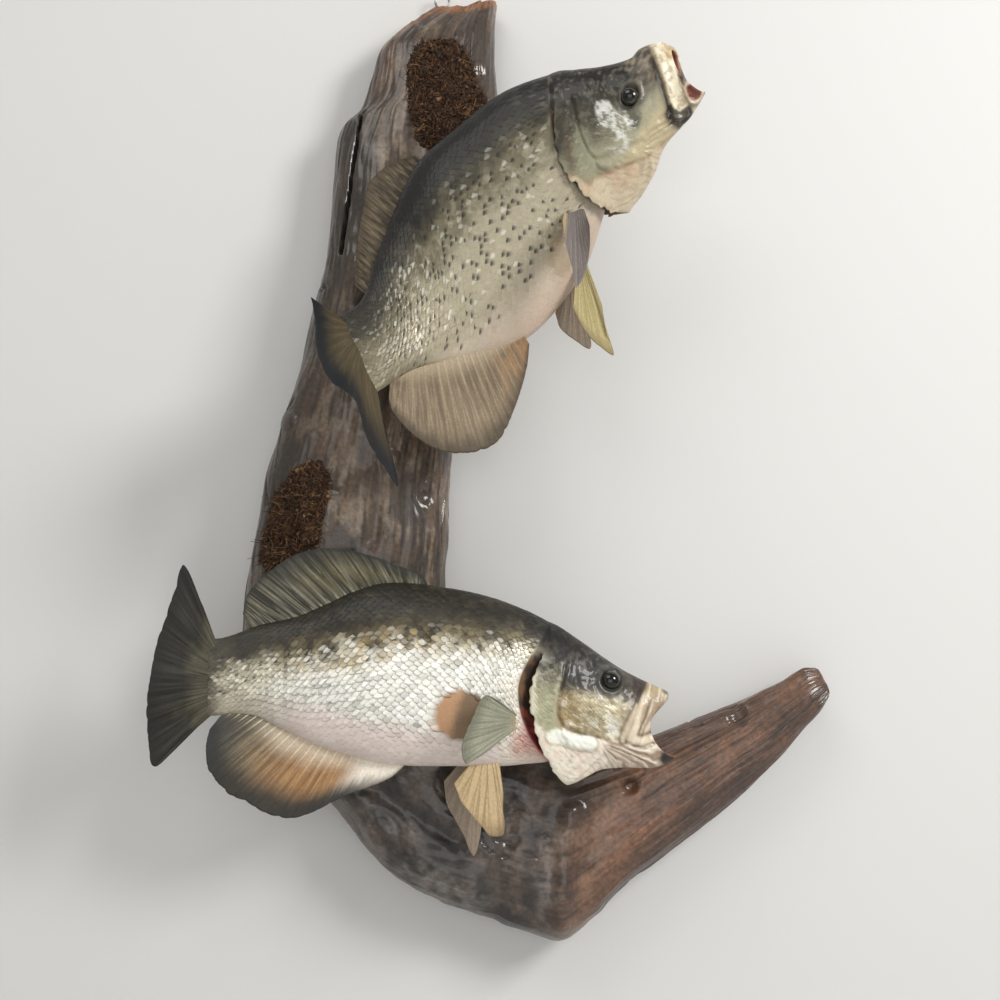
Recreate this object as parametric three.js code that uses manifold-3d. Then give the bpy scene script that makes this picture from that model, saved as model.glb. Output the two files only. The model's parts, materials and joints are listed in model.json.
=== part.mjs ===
// Two mounted white crappie on a hooked piece of driftwood, hung flat against a wall.
// Millimetres. +Z is up, the wall is the plane y = 0 and everything stands out from it to -y.
// Each fish is shaped straight, in its own body space (x forward from the tail base, y up,
// w out of the right flank), and is then bent and turned into its place on the wood.
import * as THREE from 'three';
import { mergeVertices } from 'three/addons/utils/BufferGeometryUtils.js';
import Module from 'manifold-3d';

const wasm = await Module();
wasm.setup();

// ---- driving dimensions -------------------------------------------------------------------
const GAP = 0.3;                        // clearance between neighbouring pieces
const AROUND = 20;                      // points round each ring of the lower fish
const UPPER_AROUND = 16;                // and of the upper fish
const LOWER_ORIGIN = { x: -123.4, y: -88, z: -252.5 };   // tail base of the lower fish
const TAIL_BEND_START = 62;             // the lower fish curls out from the wall behind this
const TAIL_BEND = 0.00424;              // how fast it curls, 1/mm
const TAIL_CUT = 62;                    // where the tail stem parts from the trunk
const EYE_CENTRE = [281.6, -2.3, 13.4];
const EYE_RADIUS = 8.2;
const EYE_DEPTH = 6.6;
const UPPER_EYE = [288, -18.5, 17];
const UPPER_LIPS = -4;                  // the lips of the upper fish are swept back less
const RAY_ROOT = 1.8;                   // thickness of a fin ray at its root
const RAY_EDGE = 0.8;                   // and at the margin of the fin

// Side profile of a crappie: x, back, belly, half width.
const PROFILE = [
  [-7, 26, -25.5, 1.6],
  [-2, 27.6, -27.2, 4.4],
  [6, 28.2, -26.8, 6.4],
  [16, 31.6, -26, 8.4],
  [30, 37.2, -28.4, 10.6],
  [44, 40.6, -35.4, 12.8],
  [60, 45, -43, 15.4],
  [78, 52.9, -50.4, 18],
  [96, 61.3, -55.4, 20.6],
  [116, 67.5, -61, 23.2],
  [136, 67.8, -62.9, 25.2],
  [156, 65.8, -63.4, 26.6],
  [180, 62, -63.6, 27.4],
  [203, 55.6, -63.4, 27.4],
  [222, 48.2, -61.6, 26.6],
];

const SWEEP_START = 188;                // the shoulder rings sweep back from here on
const SWEEP = 0.4;

// Rings given by their top and bottom points [x, y], half width, how far the flank is swept
// along x at mid height, and how sharply that sweep fades above and below.
const CLEITHRUM = { top: [238, 40.3], bottom: [238, -60.2], half: 25.4, sweep: -19, fade: [4, 2] };
const NECK = [
  { top: [239, 33], bottom: [239, -54], half: 20.4, sweep: -17, fade: [4, 2] },
  { top: [250, 25], bottom: [249, -50], half: 18.4, sweep: -8, fade: [4, 2] },
  { top: [259, 17], bottom: [257, -46], half: 15.5, sweep: 0, fade: [2, 2] },
];
const HEAD = [
  { top: [240, 39.6], bottom: [252, -76.6], half: 29, sweep: -20, fade: [4, 1.5] },
  { top: [246, 36.6], bottom: [258, -74.5], half: 29.4, sweep: -20, fade: [3.4, 1.6] },
  { top: [257, 29.2], bottom: [273, -66.6], half: 28.2, sweep: -18, fade: [3, 2] },
  { top: [268, 21.6], bottom: [283, -64.8], half: 26.4, sweep: -14, fade: [3, 2] },
  { top: [279, 13.8], bottom: [292, -64.4], half: 23.6, sweep: -9, fade: [2, 2] },
  { top: [290, 6.6], bottom: [299, -64.6], half: 20.8, sweep: -4, fade: [2, 2] },
  { top: [300, 1.2], bottom: [306, -64.8], half: 18.2, sweep: -4, fade: [2, 2] },
  { top: [311, -4], bottom: [316, -63.8], half: 15.6, sweep: -10, fade: [4, 1.3] },
  { top: [322.6, -9.4], bottom: [326.8, -58.8], half: 13.2, sweep: -16, fade: [4, 1.3] },
];
const GAPE = [
  { top: [329, -12.8], bottom: [333, -55.8], half: 10.6, sweep: -16, fade: [4, 1.3] },
  { top: [311, -11], bottom: [312, -56.5], half: 12.2, sweep: -8, fade: [2, 2] },
  { top: [292, -16], bottom: [292, -50], half: 9.5, sweep: 0, fade: [2, 2] },
  { top: [272, -22], bottom: [272, -43], half: 5, sweep: 0, fade: [2, 2] },
];

// Back and belly heights all along, the line that the upper fish is stretched over.
const OUTLINE = [
  ...PROFILE, [238, 40.6, -65], [252, 32.6, -76.6], [262, 25.8, -72.5], [273, 18.2, -66.6],
  [283, 11.4, -64.8], [292, 5.6, -64.4], [303, -0.4, -64.8], [316, -6.2, -63.8],
  [327, -11.2, -58.8],
];

// Seams of the head, seen from the side.
const GILL_COVER = [
  [200, 19], [242, 19], [250, 11], [247.8, -6], [244.4, -18], [244.8, -33], [253.3, -41.5],
  [267.5, -49.5], [283.4, -54], [283.4, -95], [200, -95],
];
const UPPER_JAW = [
  [311.5, 1], [304.8, -11], [304.2, -24.5], [292, -42], [294, -46], [303.6, -48], [309, -45.2],
  [345, -45.2], [345, 1],
];
const LOWER_JAW = [
  [284, -95], [284, -53.6], [294, -47.6], [303.6, -49.6], [309.4, -46.4], [345, -46.4],
  [345, -95],
];

// Fins of the lower fish: root line inside the flesh and margin, both from the tail forward.
const DORSAL = {
  root: [[26, 31], [60, 40], [96, 55], [126, 62.5], [150, 60]],
  margin: [[19.5, 45], [22, 58.7], [36.7, 75.2], [51.6, 85.9], [64.6, 90.9], [78, 92.6],
    [94.7, 90.9], [111.3, 86.8], [127.9, 80.3], [146.2, 73.5], [151, 66]],
  rays: 15,
};
const ANAL = {
  root: [[10, -22], [40, -28], [72, -43], [104, -52], [134, -57]],
  margin: [[-1, -36], [-3.4, -49.2], [-1.4, -63.7], [11.7, -80.6], [25, -87.8], [38.2, -95.6],
    [54.6, -99], [69.1, -95.8], [83.5, -88.6], [96.6, -82.2], [112.8, -76.5], [125.9, -70.5],
    [135.5, -62.5]],
  rays: 15,
};
const TAIL = {
  root: [[3, 24], [5, 8], [5, -8], [3, -24]],
  margin: [[-6, 50], [-19.2, 78.7], [-24.4, 60], [-29.2, 40.1], [-33.2, 24], [-36, 9.1],
    [-38.5, -7.9], [-38.7, -21.5], [-36.6, -41.8], [-32.8, -60.3], [-16, -42]],
  rays: 12,
};
const PECTORAL = {
  root: [[216, -22, 22], [215, -39, 21]],
  margin: [[202, -14, 36], [192.6, -11.6, 43], [184, -28, 48], [177.6, -45.5, 50],
    [179.5, -57, 48], [187, -54.5, 44], [196, -48.5, 38]],
  rays: 7,
};
const PELVIC = {
  root: [[188, -54, 6], [202, -54, 9]],
  margin: [[171, -74, 10], [176, -86, 13], [184, -96, 15], [191.5, -104, 17], [197, -109.5, 18],
    [205.5, -108.5, 18], [205.6, -94, 16], [206, -80, 13]],
  rays: 6,
};
const FAR_PELVIC = {
  root: [[181, -54, -6], [193, -54, -8]],
  margin: [[163, -74, -10], [165.5, -91.4, -13], [175.5, -110.9, -16], [184.5, -129.4, -18],
    [189.2, -114.8, -17], [191, -98, -15], [192, -82, -12]],
  rays: 6,
};

// The upper fish. Where its back and belly run on the wood: body x, world x, z, and how far
// its middle plane stands off the wall.
const UPPER_BACK = [
  [2, -35.5, 2.5], [21.8, -20, 17.5], [57, -12, 48.5], [85, -2.5, 78], [118, 7.5, 105],
  [150, 21.5, 129.5], [185, 49.5, 154], [215, 82, 176.5], [240, 117.5, 188], [257, 134.5, 188.5],
  [279, 153.5, 189], [300, 174.5, 192.5], [306, 180.5, 198.5], [317, 195, 202.5],
  [322.6, 201.5, 198.5],
];
const UPPER_BELLY = [
  [0, -8.5, -53.5], [30, 17, -34], [57, 37, -27], [88, 61.5, -21], [118, 85, -13.5],
  [150, 108, 1.5], [185, 129, 25], [212, 144, 50], [236, 158.5, 82.5], [244, 166.5, 87.5],
  [252, 177, 89.5], [273, 193.5, 113.5], [292, 200.5, 131.5], [306, 212, 144.5],
  [316, 219.5, 152], [326.8, 228.5, 166.5],
];
const UPPER_STANDOFF = [
  [-60, 152], [-30, 140], [0, 122], [30, 108], [60, 98], [90, 91], [120, 88], [150, 87],
  [180, 88], [210, 92], [240, 99], [270, 108], [300, 118], [330, 128],
];
// How far the upper fish is rolled, its back out from the wall: body x and slope.
const UPPER_ROLL = [[-40, 0], [30, 0], [100, 0.06], [180, 0.12], [240, 0.2], [290, 0.25], [330, 0.25]];
const UPPER_FINS = [
  {
    root: [[-14, 19, 112], [-7, 45, 100], [3, 76, 92], [14, 104, 89], [27, 126, 88]],
    margin: [[-26.6, 32.6, 95], [-26.6, 43.7, 93], [-26.3, 56.6, 90], [-25.2, 69.6, 87],
      [-24.2, 83.5, 84], [-22.4, 95.9, 81], [-19.4, 111.2, 79], [-13.9, 120.9, 78],
      [-5.6, 128.3, 79], [5.1, 131.8, 82], [17, 134, 86]],
    rays: 8,
  },
  {
    root: [[2, -38, 116], [24, -25, 103], [50, -17, 96], [76, -9, 91], [96, 0, 88]],
    margin: [[0.5, -56, 112], [3.5, -64.4, 110], [17, -79.4, 106], [35.5, -90.4, 102],
      [53.3, -92.8, 99], [65.5, -90.2, 96], [74.2, -86.3, 94], [81.1, -79.6, 93],
      [90.2, -60.1, 91], [95, -45.9, 90], [99.8, -27.2, 89], [101.5, -10, 88]],
    rays: 9,
  },
  {
    root: [[-30, 0, 119], [-25, -14, 120], [-18, -31, 120], [-8, -46, 119]],
    margin: [[-49.3, 5.8, 165], [-44.7, -12.5, 172], [-41.6, -34.4, 178], [-33.1, -54.4, 180],
      [-17, -67.9, 180], [-8.6, -92, 175], [1.6, -109.2, 168], [11.2, -123.1, 160],
      [0.4, -81.8, 140]],
    rays: 7,
  },
  {
    root: [[127, 84, 108], [141, 85, 110]],
    margin: [[124, 70, 132], [126.9, 48.9, 142], [130, 31.9, 149], [132.5, 15.5, 152],
      [138.3, 24.3, 148], [142.4, 45.1, 140], [143.8, 66, 131]],
    rays: 5,
  },
  {
    root: [[136, 48, 96], [143, 50, 97]],
    margin: [[132.8, 13, 105], [139.9, -1.5, 107], [146.2, -10.5, 108], [153.3, -17.3, 109],
      [161.9, -22.5, 109], [157.2, -5.9, 107], [153.9, 16.2, 104]],
    rays: 4,
  },
  {
    root: [[131, 42, 84], [137, 46, 84]],
    margin: [[121, 16.3, 76], [124.7, 5.2, 75], [136.9, -5.4, 75], [147.3, -10.9, 76],
      [146.1, 3, 78], [145, 20, 80]],
    rays: 4,
  },
];

// The driftwood, from its sawn top round the hook to the tip of the branch: the outer edge
// x, z, the inner edge x, z, and how far the front and the back stand off the wall.
const WOOD = [
  [24, 277, 76, 287, 26, 0], [-12, 245, 74, 258, 42, 0], [-22, 217, 74, 233, 46, 0],
  [-32, 190, 78, 213, 49, 0], [-47, 176, 80, 192, 51, 0], [-51, 135, 78, 151, 54, 0],
  [-53, 86, 70, 86, 57, 0], [-62, 38, 60, 30, 58, 0], [-73, -13, 51, -29, 58, 0],
  [-88, -66, 44, -80, 58, 0], [-100, -103, 42, -119, 58, 0], [-105, -137, 42, -150, 58, 0],
  [-112, -169, 40, -180, 58, 0], [-116, -203, 42, -211, 58, 0], [-115, -241, 46, -237, 59, 0],
  [-100, -282, 54, -260, 60, 0], [-77, -317, 62, -277, 60, 0], [-48, -348, 69, -289, 60, 0],
  [-6, -396, 82, -302, 60, 0], [29, -416, 91, -306, 60, 0], [67, -431, 103, -308, 60, 0],
  [104, -443, 116, -310, 58, 1], [126, -447, 130, -310, 56, 2], [149, -432, 146, -308, 54, 3],
  [171, -409, 163, -306, 53, 4], [196, -390, 182, -302, 52, 5], [230, -364, 205, -295, 50, 7],
  [276, -327, 250, -276, 47, 10], [311, -290, 294, -256, 42, 12], [322, -279, 308, -247, 39, 13],
  [327, -271, 318, -247, 36, 15],
];
const WOOD_AROUND = 18;
const SPLIT = [[-27, 181], [-29.4, 181.4], [-36.5, 130], [-42.4, 72], [-40.4, 71.6], [-34.5, 130]];
const MOSS_TOP = [
  [8.4, 222.9], [17.7, 240.7], [41, 245.6], [56.7, 231], [66.4, 198.7], [74.5, 180.6],
  [60.5, 164.1], [45.2, 154.6], [25.9, 150.6], [14.3, 158.6], [8.7, 190.6],
];
const MOSS_SIDE = [
  [-71, -95.2], [-54.5, -92.1], [-46.7, -105.8], [-51.6, -136.1], [-56.6, -157.2],
  [-71.5, -166.2], [-92.2, -177.7], [-100, -166.2], [-97, -136.1], [-87.4, -113.4],
];
const MOSS_DEPTH = 5.5;
const LOOP_CENTRE = [33, -7, 291.5];
const LOOP_RADIUS = 5.6;
const WIRE_RADIUS = 0.9;
const STEM = 16;

// ---- shared helpers -----------------------------------------------------------------------
const group = new THREE.Group();

function addPiece(name, geometry, color, roughness, metalness = 0) {
  const material = new THREE.MeshStandardMaterial({ color, roughness, metalness });
  const mesh = new THREE.Mesh(geometry, material);
  mesh.name = name;
  group.add(mesh);
}

// A smooth curve through one column of a table whose first column rises.
function sample(rows, column, x) {
  let i = 0;
  while (i < rows.length - 2 && x > rows[i + 1][0]) i += 1;
  const before = rows[Math.max(i - 1, 0)];
  const from = rows[i];
  const to = rows[i + 1];
  const after = rows[Math.min(i + 2, rows.length - 1)];
  const span = to[0] - from[0];
  const startSlope = (to[column] - before[column]) / (to[0] - before[0]);
  const endSlope = (after[column] - from[column]) / (after[0] - from[0]);
  if (x < from[0]) return from[column] + (x - from[0]) * startSlope;
  if (x > to[0]) return to[column] + (x - to[0]) * endSlope;
  const t = (x - from[0]) / span;
  const rise = to[column] - from[column];
  const cubic = t * t * (3 - 2 * t) * rise;
  const lean = span * t * (1 - t) * ((1 - t) * startSlope - t * endSlope);
  return from[column] + cubic + lean;
}

// The point a share u of the way along a polyline, by length.
function along(points, u) {
  const lengths = [0];
  for (let i = 1; i < points.length; i += 1) {
    const step = Math.hypot(...points[i].map((value, k) => value - points[i - 1][k]));
    lengths.push(lengths[i - 1] + step);
  }
  const target = u * lengths[lengths.length - 1];
  let i = 1;
  while (i < points.length - 1 && lengths[i] < target) i += 1;
  const t = (target - lengths[i - 1]) / (lengths[i] - lengths[i - 1]);
  return points[i].map((value, k) => points[i - 1][k] + (value - points[i - 1][k]) * t);
}

function facesOutward(positions, index) {
  let volume = 0;
  for (let i = 0; i < index.length; i += 3) {
    const [a, b, c] = [index[i], index[i + 1], index[i + 2]].map((k) => positions[k]);
    volume += a.dot(new THREE.Vector3().crossVectors(b, c));
  }
  return volume > 0;
}

function closedGeometry(positions, index) {
  const ordered = facesOutward(positions, index) ? index : index.slice().reverse();
  const geometry = new THREE.BufferGeometry().setFromPoints(positions);
  geometry.setIndex(ordered);
  return geometry;
}

// A closed skin over rings of equal count, each end closed to its middle.
function loft(rings) {
  const count = rings[0].length;
  const positions = rings.flat();
  const index = [];
  for (let r = 0; r < rings.length - 1; r += 1) {
    for (let i = 0; i < count; i += 1) {
      const j = (i + 1) % count;
      const [a, b] = [r * count + i, r * count + j];
      index.push(a, b, b + count, a, b + count, a + count);
    }
  }
  for (const [ring, start, flip] of [[rings[0], 0, true],
    [rings[rings.length - 1], (rings.length - 1) * count, false]]) {
    const middle = new THREE.Vector3();
    ring.forEach((point) => middle.addScaledVector(point, 1 / count));
    const centre = positions.push(middle) - 1;
    for (let i = 0; i < count; i += 1) {
      const j = (i + 1) % count;
      if (flip) index.push(centre, start + j, start + i);
      else index.push(centre, start + i, start + j);
    }
  }
  return closedGeometry(positions, index);
}

function solid(geometry) {
  const bare = geometry.clone();
  bare.deleteAttribute('normal');
  bare.deleteAttribute('uv');
  const merged = mergeVertices(bare, 1e-4);
  return new wasm.Manifold(new wasm.Mesh({
    numProp: 3,
    vertProperties: new Float32Array(merged.attributes.position.array),
    triVerts: new Uint32Array(merged.index.array),
  }));
}

function biggest(shape) {
  const parts = shape.decompose();
  parts.sort((a, b) => b.volume() - a.volume());
  return parts[0];
}

// The geometry of a solid, with every corner moved by `place`.
function shaped(shape, place = (point) => point) {
  const mesh = shape.getMesh();
  const positions = [];
  for (let i = 0; i < mesh.vertProperties.length; i += mesh.numProp) {
    const [x, y, z] = mesh.vertProperties.slice(i, i + 3);
    positions.push(place(new THREE.Vector3(x, y, z)));
  }
  return closedGeometry(positions, Array.from(mesh.triVerts));
}

function moved(shape, place) {
  return solid(shaped(shape, place));
}

function prism(outline, from, to) {
  const shape = new THREE.Shape(outline.map(([x, y]) => new THREE.Vector2(x, y)));
  const geometry = new THREE.ExtrudeGeometry(shape, { depth: to - from, bevelEnabled: false });
  geometry.translate(0, 0, from);
  return solid(geometry);
}

// The same outline with each edge moved out by `distance`.
function grown(outline, distance) {
  const turn = THREE.ShapeUtils.area(outline.map(([x, y]) => new THREE.Vector2(x, y))) > 0 ? 1 : -1;
  return outline.map((point, i) => {
    const before = outline[(i + outline.length - 1) % outline.length];
    const after = outline[(i + 1) % outline.length];
    const first = new THREE.Vector2(point[0] - before[0], point[1] - before[1]).normalize();
    const second = new THREE.Vector2(after[0] - point[0], after[1] - point[1]).normalize();
    const middle = first.clone().add(second).normalize();
    const reach = distance / Math.max(0.4, middle.dot(first));
    return [point[0] + middle.y * reach * turn, point[1] - middle.x * reach * turn];
  });
}

function ellipsoid(centre, radii, turns) {
  const ball = new THREE.SphereGeometry(1, 12, 7);
  ball.scale(...radii);
  if (turns) ball.rotateX(turns[0]).rotateY(turns[1]);
  ball.translate(...centre);
  return solid(ball);
}

// ---- a crappie, straight, in body space ---------------------------------------------------
function bodyRing({ top, bottom, half, sweep, fade }, grow, around, ahead = 0) {
  const ring = [];
  for (let i = 0; i < around; i += 1) {
    const angle = (i / around) * 2 * Math.PI;
    const share = (1 + Math.cos(angle)) / 2;
    const side = Math.abs(Math.sin(angle));
    const swept = sweep * side ** (share > 0.5 ? fade[0] : fade[1]);
    const x = bottom[0] + (top[0] - bottom[0]) * share + swept + ahead;
    const y = bottom[1] - grow + (top[1] - bottom[1] + 2 * grow) * share;
    const width = (half + grow) * side ** (1 + 0.16 * Math.cos(angle));
    ring.push(new THREE.Vector3(x, y, Math.sign(Math.sin(angle)) * width));
  }
  return ring;
}

function bodySolid(grow, around = AROUND) {
  const rings = PROFILE.map(([x, back, belly, half]) => {
    const sweep = Math.min(0, SWEEP_START - x) * SWEEP;
    const spec = { top: [x, back], bottom: [x, belly], half, sweep, fade: [4, 2] };
    return bodyRing(spec, grow, around);
  });
  [CLEITHRUM, ...NECK].forEach((ring) => rings.push(bodyRing(ring, grow, around, 1.5 * grow)));
  return solid(loft(rings));
}

function neckSolid(grow, around = AROUND) {
  const back = { top: [225, 36], bottom: [225, -53], half: 20.4, sweep: -19, fade: [4, 2] };
  return solid(loft([back, ...NECK].map((ring) => bodyRing(ring, grow, around, 1.5 * grow))));
}

function headSolid(rings = HEAD, grow = 0, around = AROUND) {
  return solid(loft(rings.map((ring) => bodyRing(ring, grow, around))));
}

// The same rings with the sweep of the lips and the gape behind them changed.
function withLips(rings, sweep) {
  return rings.map((ring) => (ring.top[0] > 305 ? { ...ring, sweep } : ring));
}

function eye(side, grow, centre = EYE_CENTRE) {
  const [x, y, w] = centre;
  const radius = EYE_RADIUS + grow;
  return ellipsoid([x, y, w * side], [radius, radius, EYE_DEPTH + grow], [-0.16 * side, 0.15 * side]);
}

// A fin as a thin ribbed sheet between its root line and its margin.
function finSheet({ root, margin, rays }, thickness = 1) {
  const columns = 2 * rays;
  const shares = [0, 0.45, 1];
  const grid = [];
  for (let i = 0; i <= columns; i += 1) {
    const start = new THREE.Vector3(...along(root, i / columns));
    const end = new THREE.Vector3(...along(margin, i / columns));
    const isRay = i % 2 === 0;
    const reach = isRay ? 1 : 0.965;
    grid.push(shares.map((v) => start.clone().lerp(end, v * reach)));
  }
  const front = [];
  const back = [];
  for (let i = 0; i <= columns; i += 1) {
    for (let j = 0; j < shares.length; j += 1) {
      const acrossStep = grid[Math.min(i + 1, columns)][j].clone()
        .sub(grid[Math.max(i - 1, 0)][j]);
      const outStep = grid[i][Math.min(j + 1, shares.length - 1)].clone()
        .sub(grid[i][Math.max(j - 1, 0)]);
      const normal = new THREE.Vector3().crossVectors(acrossStep, outStep).normalize();
      const rayDepth = RAY_ROOT + (RAY_EDGE - RAY_ROOT) * shares[j];
      const depth = (i % 2 === 0 ? rayDepth : 0.55 * rayDepth + 0.1) * thickness;
      front.push(grid[i][j].clone().addScaledVector(normal, depth / 2));
      back.push(grid[i][j].clone().addScaledVector(normal, -depth / 2));
    }
  }
  const rows = shares.length;
  const shift = front.length;
  const index = [];
  const quad = (a, b, c, d) => index.push(a, b, c, a, c, d);
  for (let i = 0; i < columns; i += 1) {
    for (let j = 0; j < rows - 1; j += 1) {
      const a = i * rows + j;
      quad(a, a + rows, a + rows + 1, a + 1);
      quad(shift + a, shift + a + 1, shift + a + rows + 1, shift + a + rows);
    }
    const root0 = i * rows;
    quad(root0, shift + root0, shift + root0 + rows, root0 + rows);
    const edge0 = i * rows + rows - 1;
    quad(edge0, edge0 + rows, shift + edge0 + rows, shift + edge0);
  }
  for (let j = 0; j < rows - 1; j += 1) {
    quad(j, j + 1, shift + j + 1, shift + j);
    const last = columns * rows + j;
    quad(last, shift + last, shift + last + 1, last + 1);
  }
  return solid(closedGeometry(front.concat(back), index));
}

// Mid-plane fins wave a little from side to side.
function waved({ root, margin, rays }, lean, wave) {
  const lift = (points, reach) => points.map(([x, y], i) => {
    const sway = reach * (lean + wave * Math.sin(i * 1.3));
    return [x, y, sway];
  });
  return { root: lift(root, 0), margin: lift(margin, 1), rays };
}

function mirrored({ root, margin, rays }, pull = (point) => point) {
  const flip = (points) => points.map(pull).map(([x, y, w]) => [x, y, -w]);
  return { root: flip(root), margin: flip(margin), rays };
}

// ---- placing the two fish -----------------------------------------------------------------
function placeLower(point) {
  const behind = Math.max(0, TAIL_BEND_START - point.x);
  const out = TAIL_BEND * behind * behind;
  const slope = 2 * TAIL_BEND * behind;
  const length = Math.hypot(1, slope);
  return new THREE.Vector3(
    LOWER_ORIGIN.x + point.x + point.z * (slope / length),
    LOWER_ORIGIN.y - out - point.z / length,
    LOWER_ORIGIN.z + point.y,
  );
}

// Mid-plane of the upper fish: body x, y to world x, y, z.
function upperMidplane(x, y) {
  const back = sample(OUTLINE, 1, x);
  const belly = sample(OUTLINE, 2, x);
  const share = (y - belly) / (back - belly);
  const mix = (column) => sample(UPPER_BELLY, column, x) * (1 - share)
    + sample(UPPER_BACK, column, x) * share;
  const lean = sample(UPPER_ROLL, 1, x) * (y - (back + belly) / 2);
  return new THREE.Vector3(mix(1), -sample(UPPER_STANDOFF, 1, x) - lean, mix(2));
}

function placeUpper(point) {
  const middle = upperMidplane(point.x, point.y);
  const forward = upperMidplane(point.x + 2, point.y).sub(upperMidplane(point.x - 2, point.y));
  const up = upperMidplane(point.x, point.y + 2).sub(upperMidplane(point.x, point.y - 2));
  const outward = forward.cross(up).normalize();
  return middle.addScaledVector(outward, point.z);
}

// ---- the driftwood ------------------------------------------------------------------------
function woodRing(row, rank, grow) {
  const [outerX, outerZ, innerX, innerZ, front, back] = row;
  const half = new THREE.Vector2(outerX - innerX, outerZ - innerZ).multiplyScalar(0.5);
  const edge = half.length();
  const ring = [];
  for (let i = 0; i < WOOD_AROUND; i += 1) {
    const angle = (i / WOOD_AROUND) * 2 * Math.PI;
    const across = Math.sign(Math.cos(angle)) * Math.abs(Math.cos(angle)) ** 0.8;
    const reach = (across * (edge + grow)) / edge;
    const x = (outerX + innerX) / 2 + half.x * reach;
    const z = (outerZ + innerZ) / 2 + half.y * reach;
    const waist = Math.min(28, (front + back) / 2);
    let depth = waist;
    if (Math.sin(angle) > 1e-6) {
      const grain = 2.6 * Math.sin(7 * angle + 0.35 * rank) + 1.8 * Math.sin(11 * angle - 0.5 * rank);
      depth += (front - waist + grow) * Math.sin(angle) ** 0.75 + grain * Math.sin(angle);
    } else if (Math.sin(angle) < -1e-6) {
      const drop = (waist - back) * Math.min(1, 1.5 * (-Math.sin(angle)) ** 0.9);
      depth -= drop;
    }
    ring.push(new THREE.Vector3(x, -depth, z));
  }
  return ring;
}

function woodSolid(grow) {
  const rings = WOOD.map((row, rank) => woodRing(row, rank, grow));
  return solid(loft(rings));
}

// A wall-plane outline (x, z) made into a block standing off the wall from `near` to `far`.
function wallBlock(outline, near, far) {
  const block = prism(outline.map(([x, z]) => [x, z]), near, far);
  return moved(block, (point) => new THREE.Vector3(point.x, -point.z, point.y));
}

function lumps(shape, size) {
  return moved(shape, (point) => {
    const wave = Math.sin(point.x * 0.83 + point.z * 0.41) + Math.sin(point.z * 0.77 - point.x * 0.36);
    return new THREE.Vector3(point.x, point.y - size * wave, point.z);
  });
}

// ---- the lower fish -----------------------------------------------------------------------
const straightBody = bodySolid(0);
const grownBody = bodySolid(GAP);
const ahead = (x) => prism([[x, -120], [360, -120], [360, 120], [x, 120]], -60, 60);
const trunk = biggest(straightBody.intersect(ahead(TAIL_CUT + GAP)));
const tailStem = biggest(straightBody.subtract(ahead(TAIL_CUT)));

const gape = headSolid(GAPE);
const wholeHead = headSolid().subtract(gape).subtract(neckSolid(GAP)).subtract(grownBody);
const upperJaw = biggest(wholeHead.intersect(prism(UPPER_JAW, -60, 60)));
const lowerJaw = biggest(wholeHead.intersect(prism(LOWER_JAW, -60, 60)));
const gillRight = biggest(wholeHead.intersect(prism(GILL_COVER, GAP / 2, 60)));
const gillLeft = biggest(wholeHead.intersect(prism(GILL_COVER, -60, -GAP / 2)));
const skull = biggest(wholeHead
  .subtract(prism(grown(UPPER_JAW, GAP), -60, 60))
  .subtract(prism(grown(LOWER_JAW, GAP), -60, 60))
  .subtract(prism(grown(GILL_COVER, GAP), -60, 60))
  .subtract(eye(1, GAP))
  .subtract(eye(-1, GAP)));

const flesh = grownBody.add(headSolid(HEAD, GAP));
const cutFin = (fin, thickness) => biggest(finSheet(fin, thickness).subtract(flesh));
const foldedBack = ([x, y, w]) => [x, y, 22 + (w - 22) * 0.22];
const lowerPieces = {
  trunk: [trunk, 0xb9b8a4, 0.35],
  tail_stem: [tailStem, 0x8f8d72, 0.35],
  head: [skull, 0x6d6a5e, 0.35],
  gill_cover_right: [gillRight, 0xb4b391, 0.35],
  gill_cover_left: [gillLeft, 0xb4b391, 0.35],
  upper_jaw: [upperJaw, 0xc9bda0, 0.4],
  lower_jaw: [lowerJaw, 0xd8cdb6, 0.4],
  tail_fin: [cutFin(waved(TAIL, 0, 1.2)), 0x3f3f38, 0.5],
  dorsal_fin: [cutFin(waved(DORSAL, 2, 1.2)), 0x6f6d58, 0.5],
  anal_fin: [cutFin(waved(ANAL, 2, 1.2)), 0xa07c50, 0.5],
  pectoral_fin_right: [cutFin(PECTORAL), 0x9c9d8a, 0.5],
  pectoral_fin_left: [cutFin(mirrored(PECTORAL, foldedBack), 0.7), 0x9c9d8a, 0.5],
  pelvic_fin_right: [cutFin(PELVIC), 0xc4a878, 0.5],
  pelvic_fin_left: [cutFin(FAR_PELVIC), 0x9c9082, 0.5],
  eye_right: [eye(1, 0), 0x15171a, 0.08],
  eye_left: [eye(-1, 0), 0x15171a, 0.08],
};
for (const [name, [shape, color, roughness]] of Object.entries(lowerPieces)) {
  addPiece(name, shaped(shape, placeLower), color, roughness);
}

// ---- the upper fish, one piece --------------------------------------------------------------
const plainHead = headSolid(withLips(HEAD, UPPER_LIPS), 0, UPPER_AROUND)
  .subtract(headSolid(withLips(GAPE, UPPER_LIPS), 0, UPPER_AROUND));
const plainBody = bodySolid(0, UPPER_AROUND).add(plainHead.subtract(bodySolid(GAP, UPPER_AROUND)));
let upper = moved(plainBody.add(neckSolid(1, UPPER_AROUND)), placeUpper);
upper = upper.add(moved(eye(1, 0, UPPER_EYE).add(eye(-1, 0, UPPER_EYE)), placeUpper));
for (const { root, margin, rays } of UPPER_FINS) {
  const sheet = finSheet({ root, margin, rays });
  upper = upper.add(moved(sheet, (point) => new THREE.Vector3(point.x, -point.z, point.y)));
}
addPiece('second_fish', shaped(biggest(upper)), 0x93937c, 0.35);

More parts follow.
